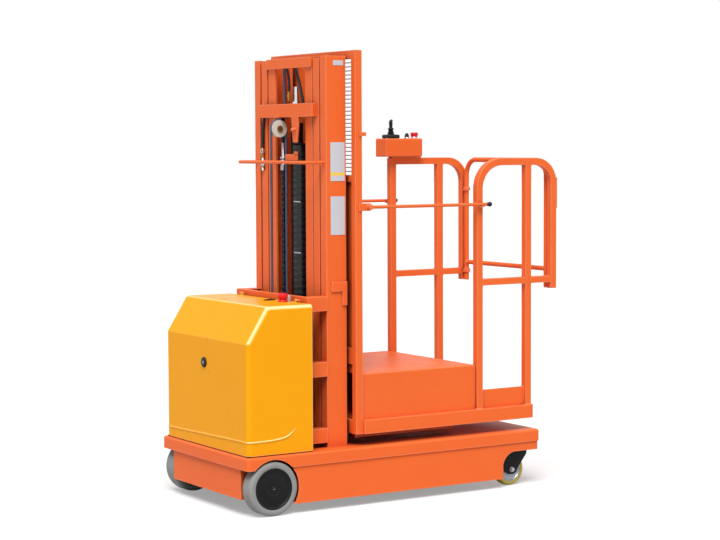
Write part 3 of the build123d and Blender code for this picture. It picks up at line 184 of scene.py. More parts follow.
def plate_finish(stripe_z=1.5485, stripe_half=0.0075):
    """Blank anodised plates: pale grey with a printed yellow stripe near the foot of the upper one."""
    made, tree, shader, place = start("blank_anodised_plate")
    parts = node(tree, "ShaderNodeSeparateXYZ", {0: place})
    gap = node(tree, "ShaderNodeMath", {0: parts.outputs[2], 1: stripe_z}, operation="SUBTRACT")
    away = node(tree, "ShaderNodeMath", {0: gap.outputs[0]}, operation="ABSOLUTE")
    band = node(tree, "ShaderNodeMath", {0: away.outputs[0], 1: stripe_half}, operation="LESS_THAN")
    # brushed before anodising, lines about 1.5 mm apart along the plate
    drawn = node(tree, "ShaderNodeMapping", {"Vector": place, "Scale": (0.1, 1, 1)})
    grain = node(tree, "ShaderNodeTexNoise", {"Vector": drawn.outputs[0], "Scale": 700.0, "Detail": 2.0})
    base = node(tree, "ShaderNodeMix", {
        0: grain.outputs[0], 6: colour("#CDD1D8"), 7: colour("#BEC2CA")}, data_type="RGBA")
    face = node(tree, "ShaderNodeMix", {
        0: band.outputs[0], 6: base.outputs[2], 7: colour("#EBCB52")}, data_type="RGBA")
    tree.links.new(face.outputs[2], shader.inputs["Base Color"])
    shader.inputs["Roughness"].default_value = 0.35
    return made


# satin powder coat on the steel frames: even orange, with a painted chalky highlight along its edges and
# painted dark red shade in its seams
orange = powder_coat("orange_powder_coat", ("#EE6C2E", "#E8652A"), "#FFBA98", ("#9A2812", "#300A05"), 0.42)
# gloss powder coat on the pressed cover: warm yellow, with a painted pale highlight on its edges and on
# rounded corners that look up, and painted shade in its seams
cover_slope = (-0.845, 0.0, 0.535)
yellow = powder_coat(
    "yellow_gloss_coat", ("#F3A40F", "#EFA00C"), "#FFEDB4", ("#B86A08", "#5A2E04"), 0.3, 0.04,
    fold=cover_slope, shine=0.08)
# black powder coat on the wheel hubs and caster forks: deep, with a painted grey highlight on its edges and
# painted shade in its seams
black_coat = powder_coat(
    "black_powder_coat", ("#121215", "#0C0C0F"), "#34343A", ("#08080A", "#030304"), 0.42)
# thin coat on welded wire, which dulls to a brownish grey
wire_coat = powder_coat("grey_wire_coat", ("#6A5652", "#524240"), "#8C7874", ("#3A2C2A", "#1A1413"), 0.45)
# pressed rubber without soot: matt pale grey with a fine grain
tyre_rubber = moulded("grey_non_marking_rubber", "#929492", "#838583", 0.66, 2.5, 0.25)
# cast polyurethane: smooth, half glossy and wax yellow
tread_rubber = moulded("cast_polyurethane_tread", "#BBA63E", "#A99430", 0.36, 6.0, 0.08)
# glass filled nylon, moulded with a fine grain: satin black
black_plastic = moulded("black_moulded_nylon", "#17171A", "#0F0F11", 0.46, 2.0, 0.12)
# wrapped hose covers: soft sheen, one blue grey and one black
hose_skin = moulded("blue_grey_hose_cover", "#50546A", "#43475A", 0.5, 3.0, 0.15)
black_hose = moulded("black_hose_cover", "#202127", "#17181C", 0.45, 3.0, 0.15)
# cast nylon, turned: ivory white
pulley_nylon = moulded("white_cast_nylon", "#DDDACB", "#CFCCBC", 0.4, 4.0, 0.08)
# push buttons in polished moulds: glossy signal red
red_plastic = moulded("red_gloss_plastic", "#E62028", "#D51A22", 0.26, 6.0, 0.03)
# moulded clips and marks: plain pale grey
grey_plastic = moulded("pale_grey_plastic", "#B4B4C0", "#A4A4B2", 0.4, 3.0, 0.06)
# zinc plated nuts, pins and screws: pale with streaks up and down
zinc = bare_metal("zinc_plated_steel", "#C4C6CA", "#A6A8AE", 0.3, (1, 1, 0.15))
# pressed rims, plated: even grey
rim_steel = bare_metal("grey_rim_steel", "#A9ABB0", "#8D8F95", 0.38, (1, 1, 1))
# ground and hard chromed rod: nearly a mirror
chrome = bare_metal("hard_chrome_rod", "#E8E8EA", "#D4D4D8", 0.08, (1, 1, 0.05))
# turned brass unions, a little dulled
brass = bare_metal("brass_fitting", "#C29A48", "#A67E34", 0.28, (1, 1, 0.3))
# punched chain plates under a film of oil: dark and wet
chain_steel = bare_metal("oiled_chain_steel", "#54545A", "#38383E", 0.34, (1, 1, 1))
# moulded fabric bush: dull brown
brown_hub = moulded("brown_bearing_bush", "#6A4E22", "#523C1A", 0.45, 3.0, 0.1)
blank_plate = plate_finish()

# Each node takes the finish of its slot

finishes = {
    "orange_paint": orange, "yellow_cover": yellow, "black_metal": black_coat, "bright_steel": zinc,
    "chrome_rod": chrome, "grey_tyre": tyre_rubber, "tread_yellow": tread_rubber,
    "black_plastic": black_plastic, "hose_rubber": hose_skin, "white_plastic": pulley_nylon,
    "red_plastic": red_plastic, "blank_plate": blank_plate, "grey_wire": wire_coat,
}
for part in frame["record"]["subparts"]:
    target = nodes[part["node"]]
    finish = finishes[part["material_slot"]]
    if not target.data.materials:
        target.data.materials.append(finish)
    for held in target.material_slots:
        held.material = finish


# Shape tools, in millimetres in the truck's frame

def put(target, part, place=None):
    """Move a shape to its place and add it to the target."""
    if place is not None:
        bmesh.ops.transform(part, matrix=place, verts=part.verts)
    kept = bpy.data.meshes.new("kept")
    part.to_mesh(kept)
    part.free()
    target.from_mesh(kept)
    bpy.data.meshes.remove(kept)


def facing(origin, axis):
    """A place whose own +Z looks along an axis."""
    turn_by = Vector((0, 0, 1)).rotation_difference(Vector(axis))
    return Matrix.Translation(origin) @ turn_by.to_matrix().to_4x4()


def turned(target, profile, place, steps=40, closed=False):
    """Turn a profile of (radius, along) pairs about its axis, as on a lathe."""
    part = bmesh.new()
    points = [part.verts.new((radius, 0, along)) for radius, along in profile]
    pairs = list(zip(points, points[1:]))
    if closed:
        pairs.append((points[-1], points[0]))
    lines = [part.edges.new(pair) for pair in pairs]
    bmesh.ops.spin(
        part, geom=points + lines, axis=(0, 0, 1), cent=(0, 0, 0), angle=2 * pi, steps=steps,
        use_merge=True, use_duplicate=False,
    )
    bmesh.ops.remove_doubles(part, verts=part.verts, dist=0.001)
    bmesh.ops.recalc_face_normals(part, faces=part.faces)
    put(target, part, place)


def ease(part, lines, width, segments=2):
    """Round some of a shape's edges."""
    bmesh.ops.bevel(
        part, geom=lines, offset=width, offset_type="OFFSET", segments=segments, profile=0.5,
        affect="EDGES", material=-1,
    )


def slab(target, low, high, edge=1.0, segments=2, place=None):
    """A box between two corners with rounded edges."""
    part = bmesh.new()
    bmesh.ops.create_cube(part, size=1)
    bmesh.ops.scale(part, vec=[b - a for a, b in zip(low, high)], verts=part.verts)
    bmesh.ops.translate(part, vec=[(a + b) / 2 for a, b in zip(low, high)], verts=part.verts)
    ease(part, part.edges[:], edge, segments)
    put(target, part, place)


def thicken(part, thick):
    """Give a flat shape a thickness along its own +Z."""
    grown = bmesh.ops.extrude_face_region(part, geom=part.faces[:])
    raised = [item for item in grown["geom"] if isinstance(item, bmesh.types.BMVert)]
    bmesh.ops.translate(part, vec=(0, 0, thick), verts=raised)
    bmesh.ops.recalc_face_normals(part, faces=part.faces)


def sheet_shape(target, outline, thick, place, edge):
    """A flat outline given a thickness along its own +Z, with eased edges."""
    part = bmesh.new()
    part.faces.new([part.verts.new((x, y, 0)) for x, y in outline])
    thicken(part, thick)
    ease(part, part.edges[:], edge)
    put(target, part, place)


def bolt(target, place, axis, flats):
    """A hex head on its washer, its axis pointing out of the panel."""
    around = facing(place, axis)
    washer_radius, washer_thick = flats * 0.675, 1.6
    corner_radius, high = flats * 0.5775, flats * 0.55
    turned(target, [(0, 0), (washer_radius, 0), (washer_radius, washer_thick), (0, washer_thick)], around, 24)
    part = bmesh.new()
    bmesh.ops.create_cone(
        part, cap_ends=True, segments=6, radius1=corner_radius, radius2=corner_radius, depth=high)
    bmesh.ops.translate(part, vec=(0, 0, washer_thick - 0.1 + high / 2), verts=part.verts)
    rim = [line for line in part.edges if all(point.co.z > high for point in line.verts)]
    ease(part, rim, flats * 0.06)
    put(target, part, around)


def ride(name, mesh, finish, body):
    """An object for a mesh in metres, with its finish, on a body."""
    mesh.materials.append(finish)
    mesh.shade_smooth()
    piece = bpy.data.objects.new(name, mesh)
    bpy.context.scene.collection.objects.link(piece)
    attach(piece, body)
    return piece


def keep(name, shape, finish, body, hides=(), smooth=32):
    """Turn a shape in millimetres into a piece in metres that rides on a body."""
    bmesh.ops.scale(shape, vec=(0.001, 0.001, 0.001), verts=shape.verts)
    mesh = bpy.data.meshes.new(name)
    shape.to_mesh(mesh)
    shape.free()
    piece = ride(name, mesh, finish, body)
    mesh.set_sharp_from_angle(angle=radians(smooth))
    if hides:
        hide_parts(*hides)


def run(name, points, radius, finish, body, smooth_line=True, taper=None):
    """A round hose or bead along points in millimetres, made a mesh."""
    line = bpy.data.curves.new(name, "CURVE")
    line.dimensions = "3D"
    line.bevel_depth = radius * 0.001
    line.bevel_resolution = 4
    line.use_fill_caps = True
    spline = line.splines.new("NURBS" if smooth_line else "POLY")
    spline.points.add(len(points) - 1)
    for index, point in enumerate(points):
        spline.points[index].co = [value * 0.001 for value in point] + [1.0]
        if taper:
            spline.points[index].radius = taper[index]
    if smooth_line:
        spline.order_u = 3
        spline.use_endpoint_u = True
    holder = bpy.data.objects.new(name + "_line", line)
    bpy.context.scene.collection.objects.link(holder)
    bpy.context.view_layer.update()
    mesh = bpy.data.meshes.new_from_object(holder.evaluated_get(bpy.context.evaluated_depsgraph_get()))
    bpy.data.objects.remove(holder)
    mesh.name = name
    mesh.materials.clear()
    ride(name, mesh, finish, body)


# Drive wheels: solid rubber band on a dished black hub

drive_x, _, drive_z = middle("drive_tyre_near")
deck_half = corners("deck")[1][1]
for name, side in sides:
    out = facing((drive_x, side * deck_half, drive_z), (0, side, 0))
    band = bmesh.new()
    turned(band, [
        (95.2, -3), (99, -1.4), (106, -0.4), (113, -0.6), (118, -2.2), (122, -5.2), (124.2, -9), (125, -14),
        (125, -25), (123.2, -26.5), (123.2, -29), (125, -30.5), (125, -49.5), (123.2, -51), (123.2, -53.5),
        (125, -55), (125, -66), (124.2, -71), (122, -74.8), (118, -77.8), (113, -79.4), (106, -79.6),
        (99, -78.6), (95.2, -77),
    ], out, 72, closed=True)
    keep(f"tyre_band_{name}", band, tyre_rubber, f"drive_wheel_{name}", [f"drive_tyre_{name}"])
    hub = bmesh.new()
    turned(hub, [
        (16, -6.4), (30, -6.2), (31.5, -5.2), (60, -5.2), (62, -6.2), (80, -6.4), (86, -5.6), (88.5, -2.4),
        (91.5, -1.2), (95.1, -1.8), (95.1, -78), (86, -79), (82, -72), (34, -72), (30, -79), (16, -79),
    ], out, 72, closed=True)
    keep(f"hub_disc_{name}", hub, black_coat, f"drive_wheel_{name}", [f"drive_hub_{name}"])
    cap = bmesh.new()
    turned(cap, [(0, -0.9), (2.4, -1.0), (3.2, -1.7), (3.2, -4), (0, -4)], out, 20)
    keep(f"hub_centre_{name}", cap, zinc, f"drive_wheel_{name}")

# Casters: pressed fork, ball race, steel rim and cast tread

caster_x, caster_y, caster_z = middle("caster_tyre_far")
plate_long, plate_wide, plate_low, plate_high = 45.0, 35.0, 166.0, 178.0
swivel_x = corners("caster_fork_far")[1][0] - plate_long
cheek_face, cheek_sheet, cheek_top = 30.0, 5.0, 177.0
fork_outline = [
    (swivel_x - plate_long, cheek_top), (caster_x - 46, 132), (caster_x - 50, 96), (caster_x - 42, 72),
    (caster_x - 24, 58), (caster_x + 12, 56), (caster_x + 30, 66), (caster_x + 38, 86),
    (swivel_x + 40, 150), (swivel_x + plate_long, cheek_top),
]
for name, side in sides:
    y_mid = side * caster_y
    fork = bmesh.new()
    slab(
        fork, (swivel_x - plate_long, y_mid - plate_wide, plate_low),
        (swivel_x + plate_long, y_mid + plate_wide, plate_high), 4, 3)
    turned(fork, [
        (0, 176), (40, 176), (41.8, 179), (41.8, 183), (39, 185.4), (39, 187), (41.8, 189), (41.8, 193.5),
        (40, 195.8), (12, 195.8), (12, 262), (0, 262),
    ], Matrix.Translation((swivel_x, y_mid, 0)), 48)
    for cheek in (-1, 1):
        y_face = y_mid + cheek * cheek_face + (cheek_sheet if cheek > 0 else 0)
        upright = Matrix.Translation((0, y_face, 0)) @ Matrix.Rotation(radians(90), 4, "X")
        sheet_shape(fork, fork_outline, cheek_sheet, upright, 1.4)
    body = f"caster_swivel_{name}"
    keep(f"fork_pressing_{name}", fork, black_coat, body, [f"caster_fork_{name}"])
    # axle with its bolt heads, and the grease nipple on the plate's edge
    axle = bmesh.new()
    across = facing((caster_x, y_mid, caster_z), (0, 1, 0))
    for cheek in (-1, 1):
        head_y = y_mid + cheek * (cheek_face + cheek_sheet + 0.2)
        bolt(axle, (caster_x, head_y, caster_z), (0, cheek, 0), 19)
    turned(axle, [(0, -34), (7.9, -34), (7.9, 34), (0, 34)], across, 24)
    nipple = facing((swivel_x + 42.5, y_mid, (plate_low + plate_high) / 2), (1, 0, 0))
    turned(axle, [(0, 0), (3, 0), (3, 5), (1.6, 7.5), (0, 7.5)], nipple, 12)
    keep(f"caster_axle_{name}", axle, zinc, body)
    body = f"caster_wheel_{name}"
    tread = bmesh.new()
    turned(tread, [
        (61.9, -24.5), (68, -25), (73.5, -23.6), (77.4, -20.4), (79.4, -15), (80, -8), (80, 8), (79.4, 15),
        (77.4, 20.4), (73.5, 23.6), (68, 25), (61.9, 24.5),
    ], across, 64, closed=True)
    keep(f"caster_tread_{name}", tread, tread_rubber, body, [f"caster_tyre_{name}"])
    rim = bmesh.new()
    turned(rim, [
        (8.2, -29.5), (20, -29.5), (21.5, -28), (22, -17), (27, -14), (44, -13), (51, -15.5), (57, -22.4),
        (61.9, -23), (61.9, 23), (57, 22.4), (51, 15.5), (44, 13), (27, 14), (22, 17), (21.5, 28),
        (20, 29.5), (8.2, 29.5),
    ], across, 64, closed=True)
    keep(f"caster_disc_{name}", rim, rim_steel, body, [f"caster_rim_{name}"])

# Drive cover: a pressed line near its foot, lower on the far side, and a seal under its foot

cover_end, cover_side = corners("drive_cover")[0][0], corners("drive_cover")[1][1]
corner, bead, sunk = 22.0, 6.0, 3.0
line_z = {"near": 341.0, "far": 324.0}
across_end = {"near": ((0, 333.5), (189, 338), (300, 341)), "far": ((0, 333.5), (59, 332), (250, 327))}
along_side = (
    (-820, 0), (-770, 1), (-734, 3), (-700, 7), (-676, 12), (-660, 19), (-645, 30), (-628, 47), (-615, 66))
for name, side in sides:
    points = [(cover_end + sunk, side * y, z) for y, z in across_end[name]]
    for step in range(9):
        angle = radians(90 * step / 8)
        reach = corner - sunk
        x_bend = cover_end + corner - reach * cos(angle)
        y_bend = cover_side - corner + reach * sin(angle)
        points.append((x_bend, side * y_bend, line_z[name]))
    points += [(x, side * (cover_side - sunk), line_z[name] + rise) for x, rise in along_side]
    widths = [1.0] * (len(points) - 3) + [0.85, 0.6, 0.2]
    run(f"cover_press_line_{name}", points, bead, yellow, "cover", False, widths)
seal = bmesh.new()
seal_low, seal_high, seal_half, seal_back = 275.4, 280.5, 1.6, -536.0
for side in (-1, 1):
    y_seal = side * (cover_side - 2)
    slab(
        seal, (cover_end + 4, y_seal - seal_half, seal_low),
        (seal_back, y_seal + seal_half, seal_high), 0.4, 1)
slab(seal, (cover_end + 0.6, 3 - cover_side, seal_low), (cover_end + 3.8, cover_side - 3, seal_high), 0.4, 1)
keep("cover_foot_seal", seal, black_plastic, "cover")

# Cover's lock: a ring round a slotted barrel

_, lock_y, lock_z = middle("cover_lock")
lock_place = facing((cover_end, lock_y, lock_z), (-1, 0, 0))
lock = bmesh.new()
turned(lock, [
    (0, 2.5), (9, 2.5), (9, 8.6), (13, 9), (18, 8.4), (22.6, 6.2), (23.8, 2.8), (24, 0.2), (0, 0.2),
], lock_place, 40)
keep("lock_ring", lock, black_plastic, "cover", ["cover_lock"])
barrel = bmesh.new()
turned(barrel, [(0, 8.2), (6.6, 8.2), (8.4, 7.2), (8.8, 2.0), (0, 2.0)], lock_place, 28)
slab(
    barrel, (cover_end - 8.8, lock_y - 1.4, lock_z - 8),
    (cover_end - 7.8, lock_y + 1.4, lock_z + 8), 0.3, 1)
keep("lock_barrel", barrel, zinc, "cover")

# Cover's stop button with a small grey clip beside it, and the switch plate in its slot

stop_x, stop_y, _ = middle("cover_stop")
cover_top = corners("cover_stop")[0][2]
head = bmesh.new()
turned(head, [
    (0, 42), (10, 41.7), (17, 40.2), (21.6, 37.2), (23.8, 33), (24, 28.4), (23.2, 20), (22, 17.4), (17, 16.4),
    (16, 9), (21, 8), (22.6, 5.6), (23, 0), (0, 0),
], Matrix.Translation((stop_x, stop_y, cover_top)), 48)
keep("cover_stop_head", head, red_plastic, "cover", ["cover_stop"])
clip = bmesh.new()
slab(clip, (stop_x + 15, stop_y - 28, cover_top), (stop_x + 27, stop_y - 14, cover_top + 32), 3, 3)
keep("cover_stop_clip", clip, grey_plastic, "cover")

(switch_low, slot_near, _), (switch_high, slot_far, _) = corners("cover_switch")
slot_y = (slot_near + slot_far) / 2
end_round = slot_far - slot_y
slot_ends = (switch_low + end_round, switch_high - end_round)
slot_ring = bmesh.new()
for centre in slot_ends:
    turned(slot_ring, [(0, 0), (end_round, 0), (end_round, 2.8), (end_round - 1.4, 4), (0, 4)],
           Matrix.Translation((centre, slot_y, cover_top)), 36)
slab(slot_ring, (slot_ends[0], slot_near, cover_top), (slot_ends[1], slot_far, cover_top + 4), 1.2)
slab(
    slot_ring, (slot_ends[0] + 4, slot_y - 3, cover_top + 3),
    (slot_ends[1] - 4, slot_y + 3, cover_top + 6.5), 1.4)
keep("cover_switch_plate", slot_ring, black_plastic, "cover", ["cover_switch"])

# Leaf chain: plates on pins, by turns four and three across, the last no more than its overrun past the top

chain_x, chain_y, _ = middle("lift_chain")
chain_low, chain_high = corners("lift_chain")[0][2], corners("lift_chain")[1][2]
link_pitch, plate_round, plate_thick, pin_radius, pin_half = 25.4, 5.8, 2.4, 3.2, 13.5
four_rows, three_rows = (-12.6, -5.0, 2.6, 10.2), (-8.8, -1.2, 6.4)
overrun = 8.0


def chain_plate():
    """A chain plate with two round ends, one pitch apart."""
    part = bmesh.new()
    for end in (0, link_pitch):
        bmesh.ops.create_circle(
            part, cap_ends=False, segments=10, radius=plate_round, matrix=Matrix.Translation((0, end, 0)))
    bmesh.ops.convex_hull(part, input=part.verts)
    bmesh.ops.dissolve_limit(part, angle_limit=0.01, verts=part.verts, edges=part.edges)
    for extra in part.faces[1:]:
        part.faces.remove(extra)
    thicken(part, plate_thick)
    return part


chain = bmesh.new()
for link in range(int((chain_high - chain_low) / link_pitch)):
    z_pin = chain_low + (link + 0.5) * link_pitch
    pin_place = facing((chain_x, chain_y - pin_half, z_pin), (0, 1, 0))
    turned(chain, [(0, 0), (pin_radius, 0), (pin_radius, 2 * pin_half), (0, 2 * pin_half)], pin_place, 8)
    if z_pin + link_pitch < chain_high + overrun:
        for row in (four_rows if link % 2 else three_rows):
            standing = Matrix.Translation((chain_x, chain_y + row + plate_thick, z_pin))
            put(chain, chain_plate(), standing @ Matrix.Rotation(radians(90), 4, "X"))
keep("leaf_chain", chain, chain_steel, "middle_stage", ["lift_chain"], 40)

# Anchors: threaded rods with nuts, one over the chain and one under the far hose

far_x, far_y = -418.0, 250.0
ridge_pitch, core, crest = 4.0, 7.0, 8.0
rods = bmesh.new()
for x_rod, y_rod, low, high in ((chain_x, chain_y, 1580, 1700), (far_x, far_y, 1560, 1624)):
    thread = [(0, low)]
    for ridge in range(int((high - low) / ridge_pitch)):
        thread += [(core, low + ridge * ridge_pitch), (crest, low + (ridge + 0.5) * ridge_pitch)]
    thread += [(core, high), (0, high)]
    turned(rods, thread, Matrix.Translation((x_rod, y_rod, 0)), 20)
    for z_nut in (low + 26, low + 42):
        nut = bmesh.new()
        bmesh.ops.create_cone(nut, cap_ends=True, segments=6, radius1=14, radius2=14, depth=11)
        ease(nut, nut.edges[:], 0.9)
        put(rods, nut, Matrix.Translation((x_rod, y_rod, z_nut)))
# clevis over the chain, plate on its rod's top, and block under the far hose
slab(rods, (chain_x - 8, chain_y - 14, 1562), (chain_x + 8, chain_y + 14, 1590), 2.5)
slab(rods, (-429, chain_y - 14, 1812), (chain_x + 14, chain_y + 14, 1824), 1.5)
slab(rods, (far_x - 8, far_y - 14, 1644), (far_x + 8, far_y + 14, 1664), 2)
keep("chain_anchor_rods", rods, zinc, "middle_stage", ["chain_anchor"])

# Hoses at the far anchor and in the mast's top window, their brass unions, and the chain rod's sleeve

window_x, union_y = -385.0, 49.5
union = bmesh.new()
turned(union, [
    (0, 1624), (9, 1624), (10.5, 1628), (10.5, 1640), (8, 1642), (8, 1650), (11, 1652), (11, 1662),
    (8.5, 1668), (0, 1668),
], Matrix.Translation((far_x, far_y, 0)), 20)
turned(union, [
    (0, 1895), (6.4, 1895), (6.4, 1908), (9, 1910), (9, 1924), (6.6, 1926), (6.6, 1939), (0, 1939),
], Matrix.Translation((window_x, union_y, 0)), 20)
keep("brass_unions", union, brass, "middle_stage")
run("far_hose_tail", [
    (far_x, far_y, 1666), (far_x, far_y, 1720), (-414, 246, 1790), (-413, 240, 1818),
], 8.0, black_hose, "middle_stage")
run("chain_rod_cover", [
    (chain_x, chain_y, 1696), (chain_x, chain_y, 1816),
], 9.0, black_hose, "middle_stage", False)
run("window_hose_blue", [
    (window_x, 92, 1826), (window_x, 92, 1882), (window_x, 93, 1998), (window_x, 92, 2080),
], 7.0, hose_skin, "inner_stage")
run("window_hose_one", [
    (window_x, union_y, 1937), (window_x, 42, 1960), (window_x, 50, 2005), (window_x, 66, 2046),
    (window_x, 76, 2080),
], 6.0, black_hose, "middle_stage")
run("window_hose_two", [
    (window_x, -86, 1862), (window_x, -84, 1880), (window_x, -60, 1955), (window_x, -18, 2043),
    (window_x, 4, 2080),
], 7.0, black_hose, "middle_stage")

# Cable carrier: black links down, round the bend and up again, two pale marks, and the hose bracket

bend_x, carrier_y, bend_z, bend_radius = -354.5, -58.0, 560.0, 38.0
hang_top, return_top, link_step = 1683.0, 900.0, 30.0
down, round_bend = hang_top - bend_z, pi * bend_radius
whole = down + round_bend + return_top - bend_z
links = bmesh.new()
for link in range(int(whole / link_step)):
    along = (link + 0.5) * link_step
    if along < down:
        place = Matrix.Translation((bend_x - bend_radius, carrier_y, hang_top - along))
    elif along < down + round_bend:
        angle = (along - down) / bend_radius
        x_link = bend_x - bend_radius * cos(angle)
        z_link = bend_z - bend_radius * sin(angle)
        place = Matrix.Translation((x_link, carrier_y, z_link)) @ Matrix.Rotation(-angle, 4, "Y")
    else:
        place = Matrix.Translation((bend_x + bend_radius, carrier_y, bend_z + along - down - round_bend))
    slab(links, (-12.5, -36, -15), (12.5, 36, 15), 1.0, 1, place)
    slab(links, (-14.0, -38, -11.5), (12.0, -30, 11.5), 2.0, 2, place)
    slab(links, (-14.0, 30, -11.5), (12.0, 38, 11.5), 2.0, 2, place)
    slab(links, (-14.2, -31, -7), (-11, 31, 7), 1.2, 2, place)
# angle that holds the hanging end on the tab
slab(links, (-429, -109, hang_top), (-380, -75, hang_top + 8), 1.2)
slab(links, (-429, -109, hang_top), (-421, -75, hang_top + 73), 1.2)
keep("cable_carrier_links", links, black_plastic, "middle_stage", ["cable_carrier"], 40)
marks = bmesh.new()
for z_mark in (1173, 1416):
    slab(marks, (-408.4, -90, z_mark - 4), (-406.4, -28, z_mark + 2), 0.5, 1)
keep("carrier_marks", marks, grey_plastic, "middle_stage")
bracket = bmesh.new()
slab(bracket, (-412.5, -73, 1611), (-406.5, 41, 1640), 1.5)
slab(bracket, (-412.5, -73, 1634), (-400, -40, 1654), 1.5)
bolt(bracket, (-445.4, -92, 1756), (-1, 0, 0), 15)
keep("hose_bracket", bracket, orange, "middle_stage")

# Pulley's pin: brown cap on the near end, nut on the far end

pulley_x, _, pulley_z = middle("hose_pulley")
cap = bmesh.new()
turned(cap, [(0, 6.8), (12.8, 6.8), (14.6, 5.2), (14.6, 0), (0, 0)],
       facing((pulley_x, 43.2, pulley_z), (0, -1, 0)), 32)
keep("pulley_pin_cap", cap, brown_hub, "middle_stage")
pin_nut = bmesh.new()
bolt(pin_nut, (pulley_x, 73.2, pulley_z), (0, 1, 0), 17)
keep("pulley_pin_nuts", pin_nut, zinc, "middle_stage")

# Control box: lid with its screws

(box_left, box_near, _), (box_right, box_far, box_top) = corners("control_box")
lid_inset, screw_inset = 3.0, 10.0
lid = bmesh.new()
slab(
    lid, (box_left + lid_inset, box_near + lid_inset, box_top - 3.5),
    (box_right - lid_inset, box_far - lid_inset, box_top + 0.8), 1.8, 3)
keep("control_box_lid", lid, orange, "platform")
screws = bmesh.new()
for x_screw in (box_left + screw_inset, box_right - screw_inset):
    for y_screw in (box_near + screw_inset, box_far - screw_inset):
        turned(screws, [(0, 0), (4.2, 0), (3.8, 1.6), (1.6, 2.2), (0, 1.2)],
               Matrix.Translation((x_screw, y_screw, box_top + 0.7)), 16)
keep("control_box_screws", screws, zinc, "platform")

# Control lever: its base, ribbed boot and bent tip

lever_x, lever_y, _ = middle("control_stick")
base_half, boot_foot, rib_step = 35.0, 1733.0, 6.6
lever = bmesh.new()
slab(
    lever, (lever_x - base_half, lever_y - base_half, box_top),
    (lever_x + base_half, lever_y + base_half, box_top + 21), 7, 3)
boot = [(0, boot_foot)]
for rib in range(4):
    wide, foot = 18.5 - rib * 1.8, boot_foot + rib * rib_step
    boot += [(wide - 1.6, foot), (wide + 1.4, foot + 3.0), (wide - 2.4, foot + 6.0)]
boot += [
    (15.4, 1762), (15.8, 1765), (12, 1768.6), (9.2, 1771), (8.6, 1778), (9.4, 1786), (9.6, 1796), (8.6, 1804),
    (0, 1805),
]
turned(lever, boot, Matrix.Translation((lever_x, lever_y, 0)), 32)
tip = Matrix.Translation((lever_x, lever_y, 1800)) @ Matrix.Rotation(radians(28), 4, "Y")
turned(lever, [(0, -4), (8.4, -4), (8.6, 3), (7.4, 9), (4.6, 12.6), (0, 13.6)], tip, 24)
keep("control_lever", lever, black_plastic, "platform", ["control_stick"])

# Control box's stop button and switch knob, each in a collar

button_x, button_y, _ = middle("control_stop")
switch_x = 489.0
button_place = Matrix.Translation((button_x, button_y, box_top))
switch_place = Matrix.Translation((switch_x, button_y, box_top))
stop = bmesh.new()
turned(stop, [
    (0, 32), (12, 31.8), (17.4, 30.6), (19.8, 27.6), (20, 24), (18.6, 17), (16.6, 10), (16, 8), (0, 8),
], button_place, 40)
keep("control_stop_head", stop, red_plastic, "platform", ["control_stop"])
collars = bmesh.new()
turned(collars, [(0, 0), (18, 0), (18, 5.4), (16, 8.4), (0, 8.4)], button_place, 32)
turned(collars, [(0, 0), (15, 0), (15, 4), (13, 7), (0, 7)], switch_place, 32)
keep("control_collars", collars, zinc, "platform")
knob = bmesh.new()
turned(knob, [(0, 6.6), (11, 6.6), (11.8, 10), (10.6, 20), (8.6, 23), (0, 23.6)], switch_place, 28)
slab(knob, (switch_x - 2.2, button_y - 10, box_top + 21), (switch_x + 2.2, button_y + 10, box_top + 28), 1.4)
keep("control_knob", knob, black_plastic, "platform", ["control_switch"])

# Ball knobs on the side bars' ends

knob_x = corners("side_bar_far")[1][0]
_, knob_y, knob_z = middle("side_bar_far")
knob_radius = 12.0
ball_profile = [(0, -8), (8.8, -8), (9.2, -3)]
for step in range(9):
    angle = radians(-42 + step * 16.5)
    ball_profile.append((knob_radius * cos(angle), knob_radius + knob_radius * sin(angle)))
ball_profile.append((0, 2 * knob_radius))
for name, side in sides:
    ball = bmesh.new()
    turned(ball, ball_profile, facing((knob_x, side * knob_y, knob_z), (1, 0, 0)), 32)
    keep(f"ball_knob_{name}", ball, black_plastic, f"bar_{name}", [f"bar_knob_{name}"])

# Welds round the rails' posts and at their joints

root_two = 2 ** 0.5
rail_half, mid_rail_half, mid_rail_z = 17.0, 16.0, 1015.0
(rail_start, rail_face, _), (rail_end, _, rail_top) = corners("rail_far")
rail_y = rail_face + rail_half
floor_top = corners("platform_floor")[1][2]
first_post, second_post, tail = rail_start + rail_half, 712.0, rail_end - rail_half
weld, weld_half = 4.5, 15.5
post_profile = [
    ((rail_half + 0.1 + wide) * root_two, high) for wide, high in (
        (0, 0), (2.6, 0), (2.2, 1.6), (1.2, 3.2), (0, 4))]
inner_faces = ((first_post, 1), (second_post, -1), (second_post, 1), (tail, -1))
welds = bmesh.new()
for side in (-1, 1):
    for x_post in (first_post, second_post):
        foot_place = Matrix.Translation((x_post, side * rail_y, floor_top))
        turned(welds, post_profile, foot_place @ Matrix.Rotation(radians(45), 4, "Z"), 4, closed=True)
    joints = [
        (x + way * rail_half, way, mid_rail_z + up * mid_rail_half, up)
        for x, way in inner_faces for up in (1, -1)]
    top_inside = rail_top - 2 * rail_half
    joints += [(x + way * rail_half, way, top_inside, -1) for x, way in inner_faces[1:3]]
    if side > 0:
        joints.append((first_post + rail_half, 1, top_inside, -1))
    for x_face, way, z_face, up in joints:
        x_low = min(x_face, x_face + way * weld)
        z_low = min(z_face, z_face + up * weld)
        slab(
            welds, (x_low, side * rail_y - weld_half, z_low),
            (x_low + weld, side * rail_y + weld_half, z_low + weld), 1.7)
keep("rail_welds", welds, orange, "platform", smooth=60)

# Gate's welds, and the caps of the rails' tails and the gate's tube, which end at one height

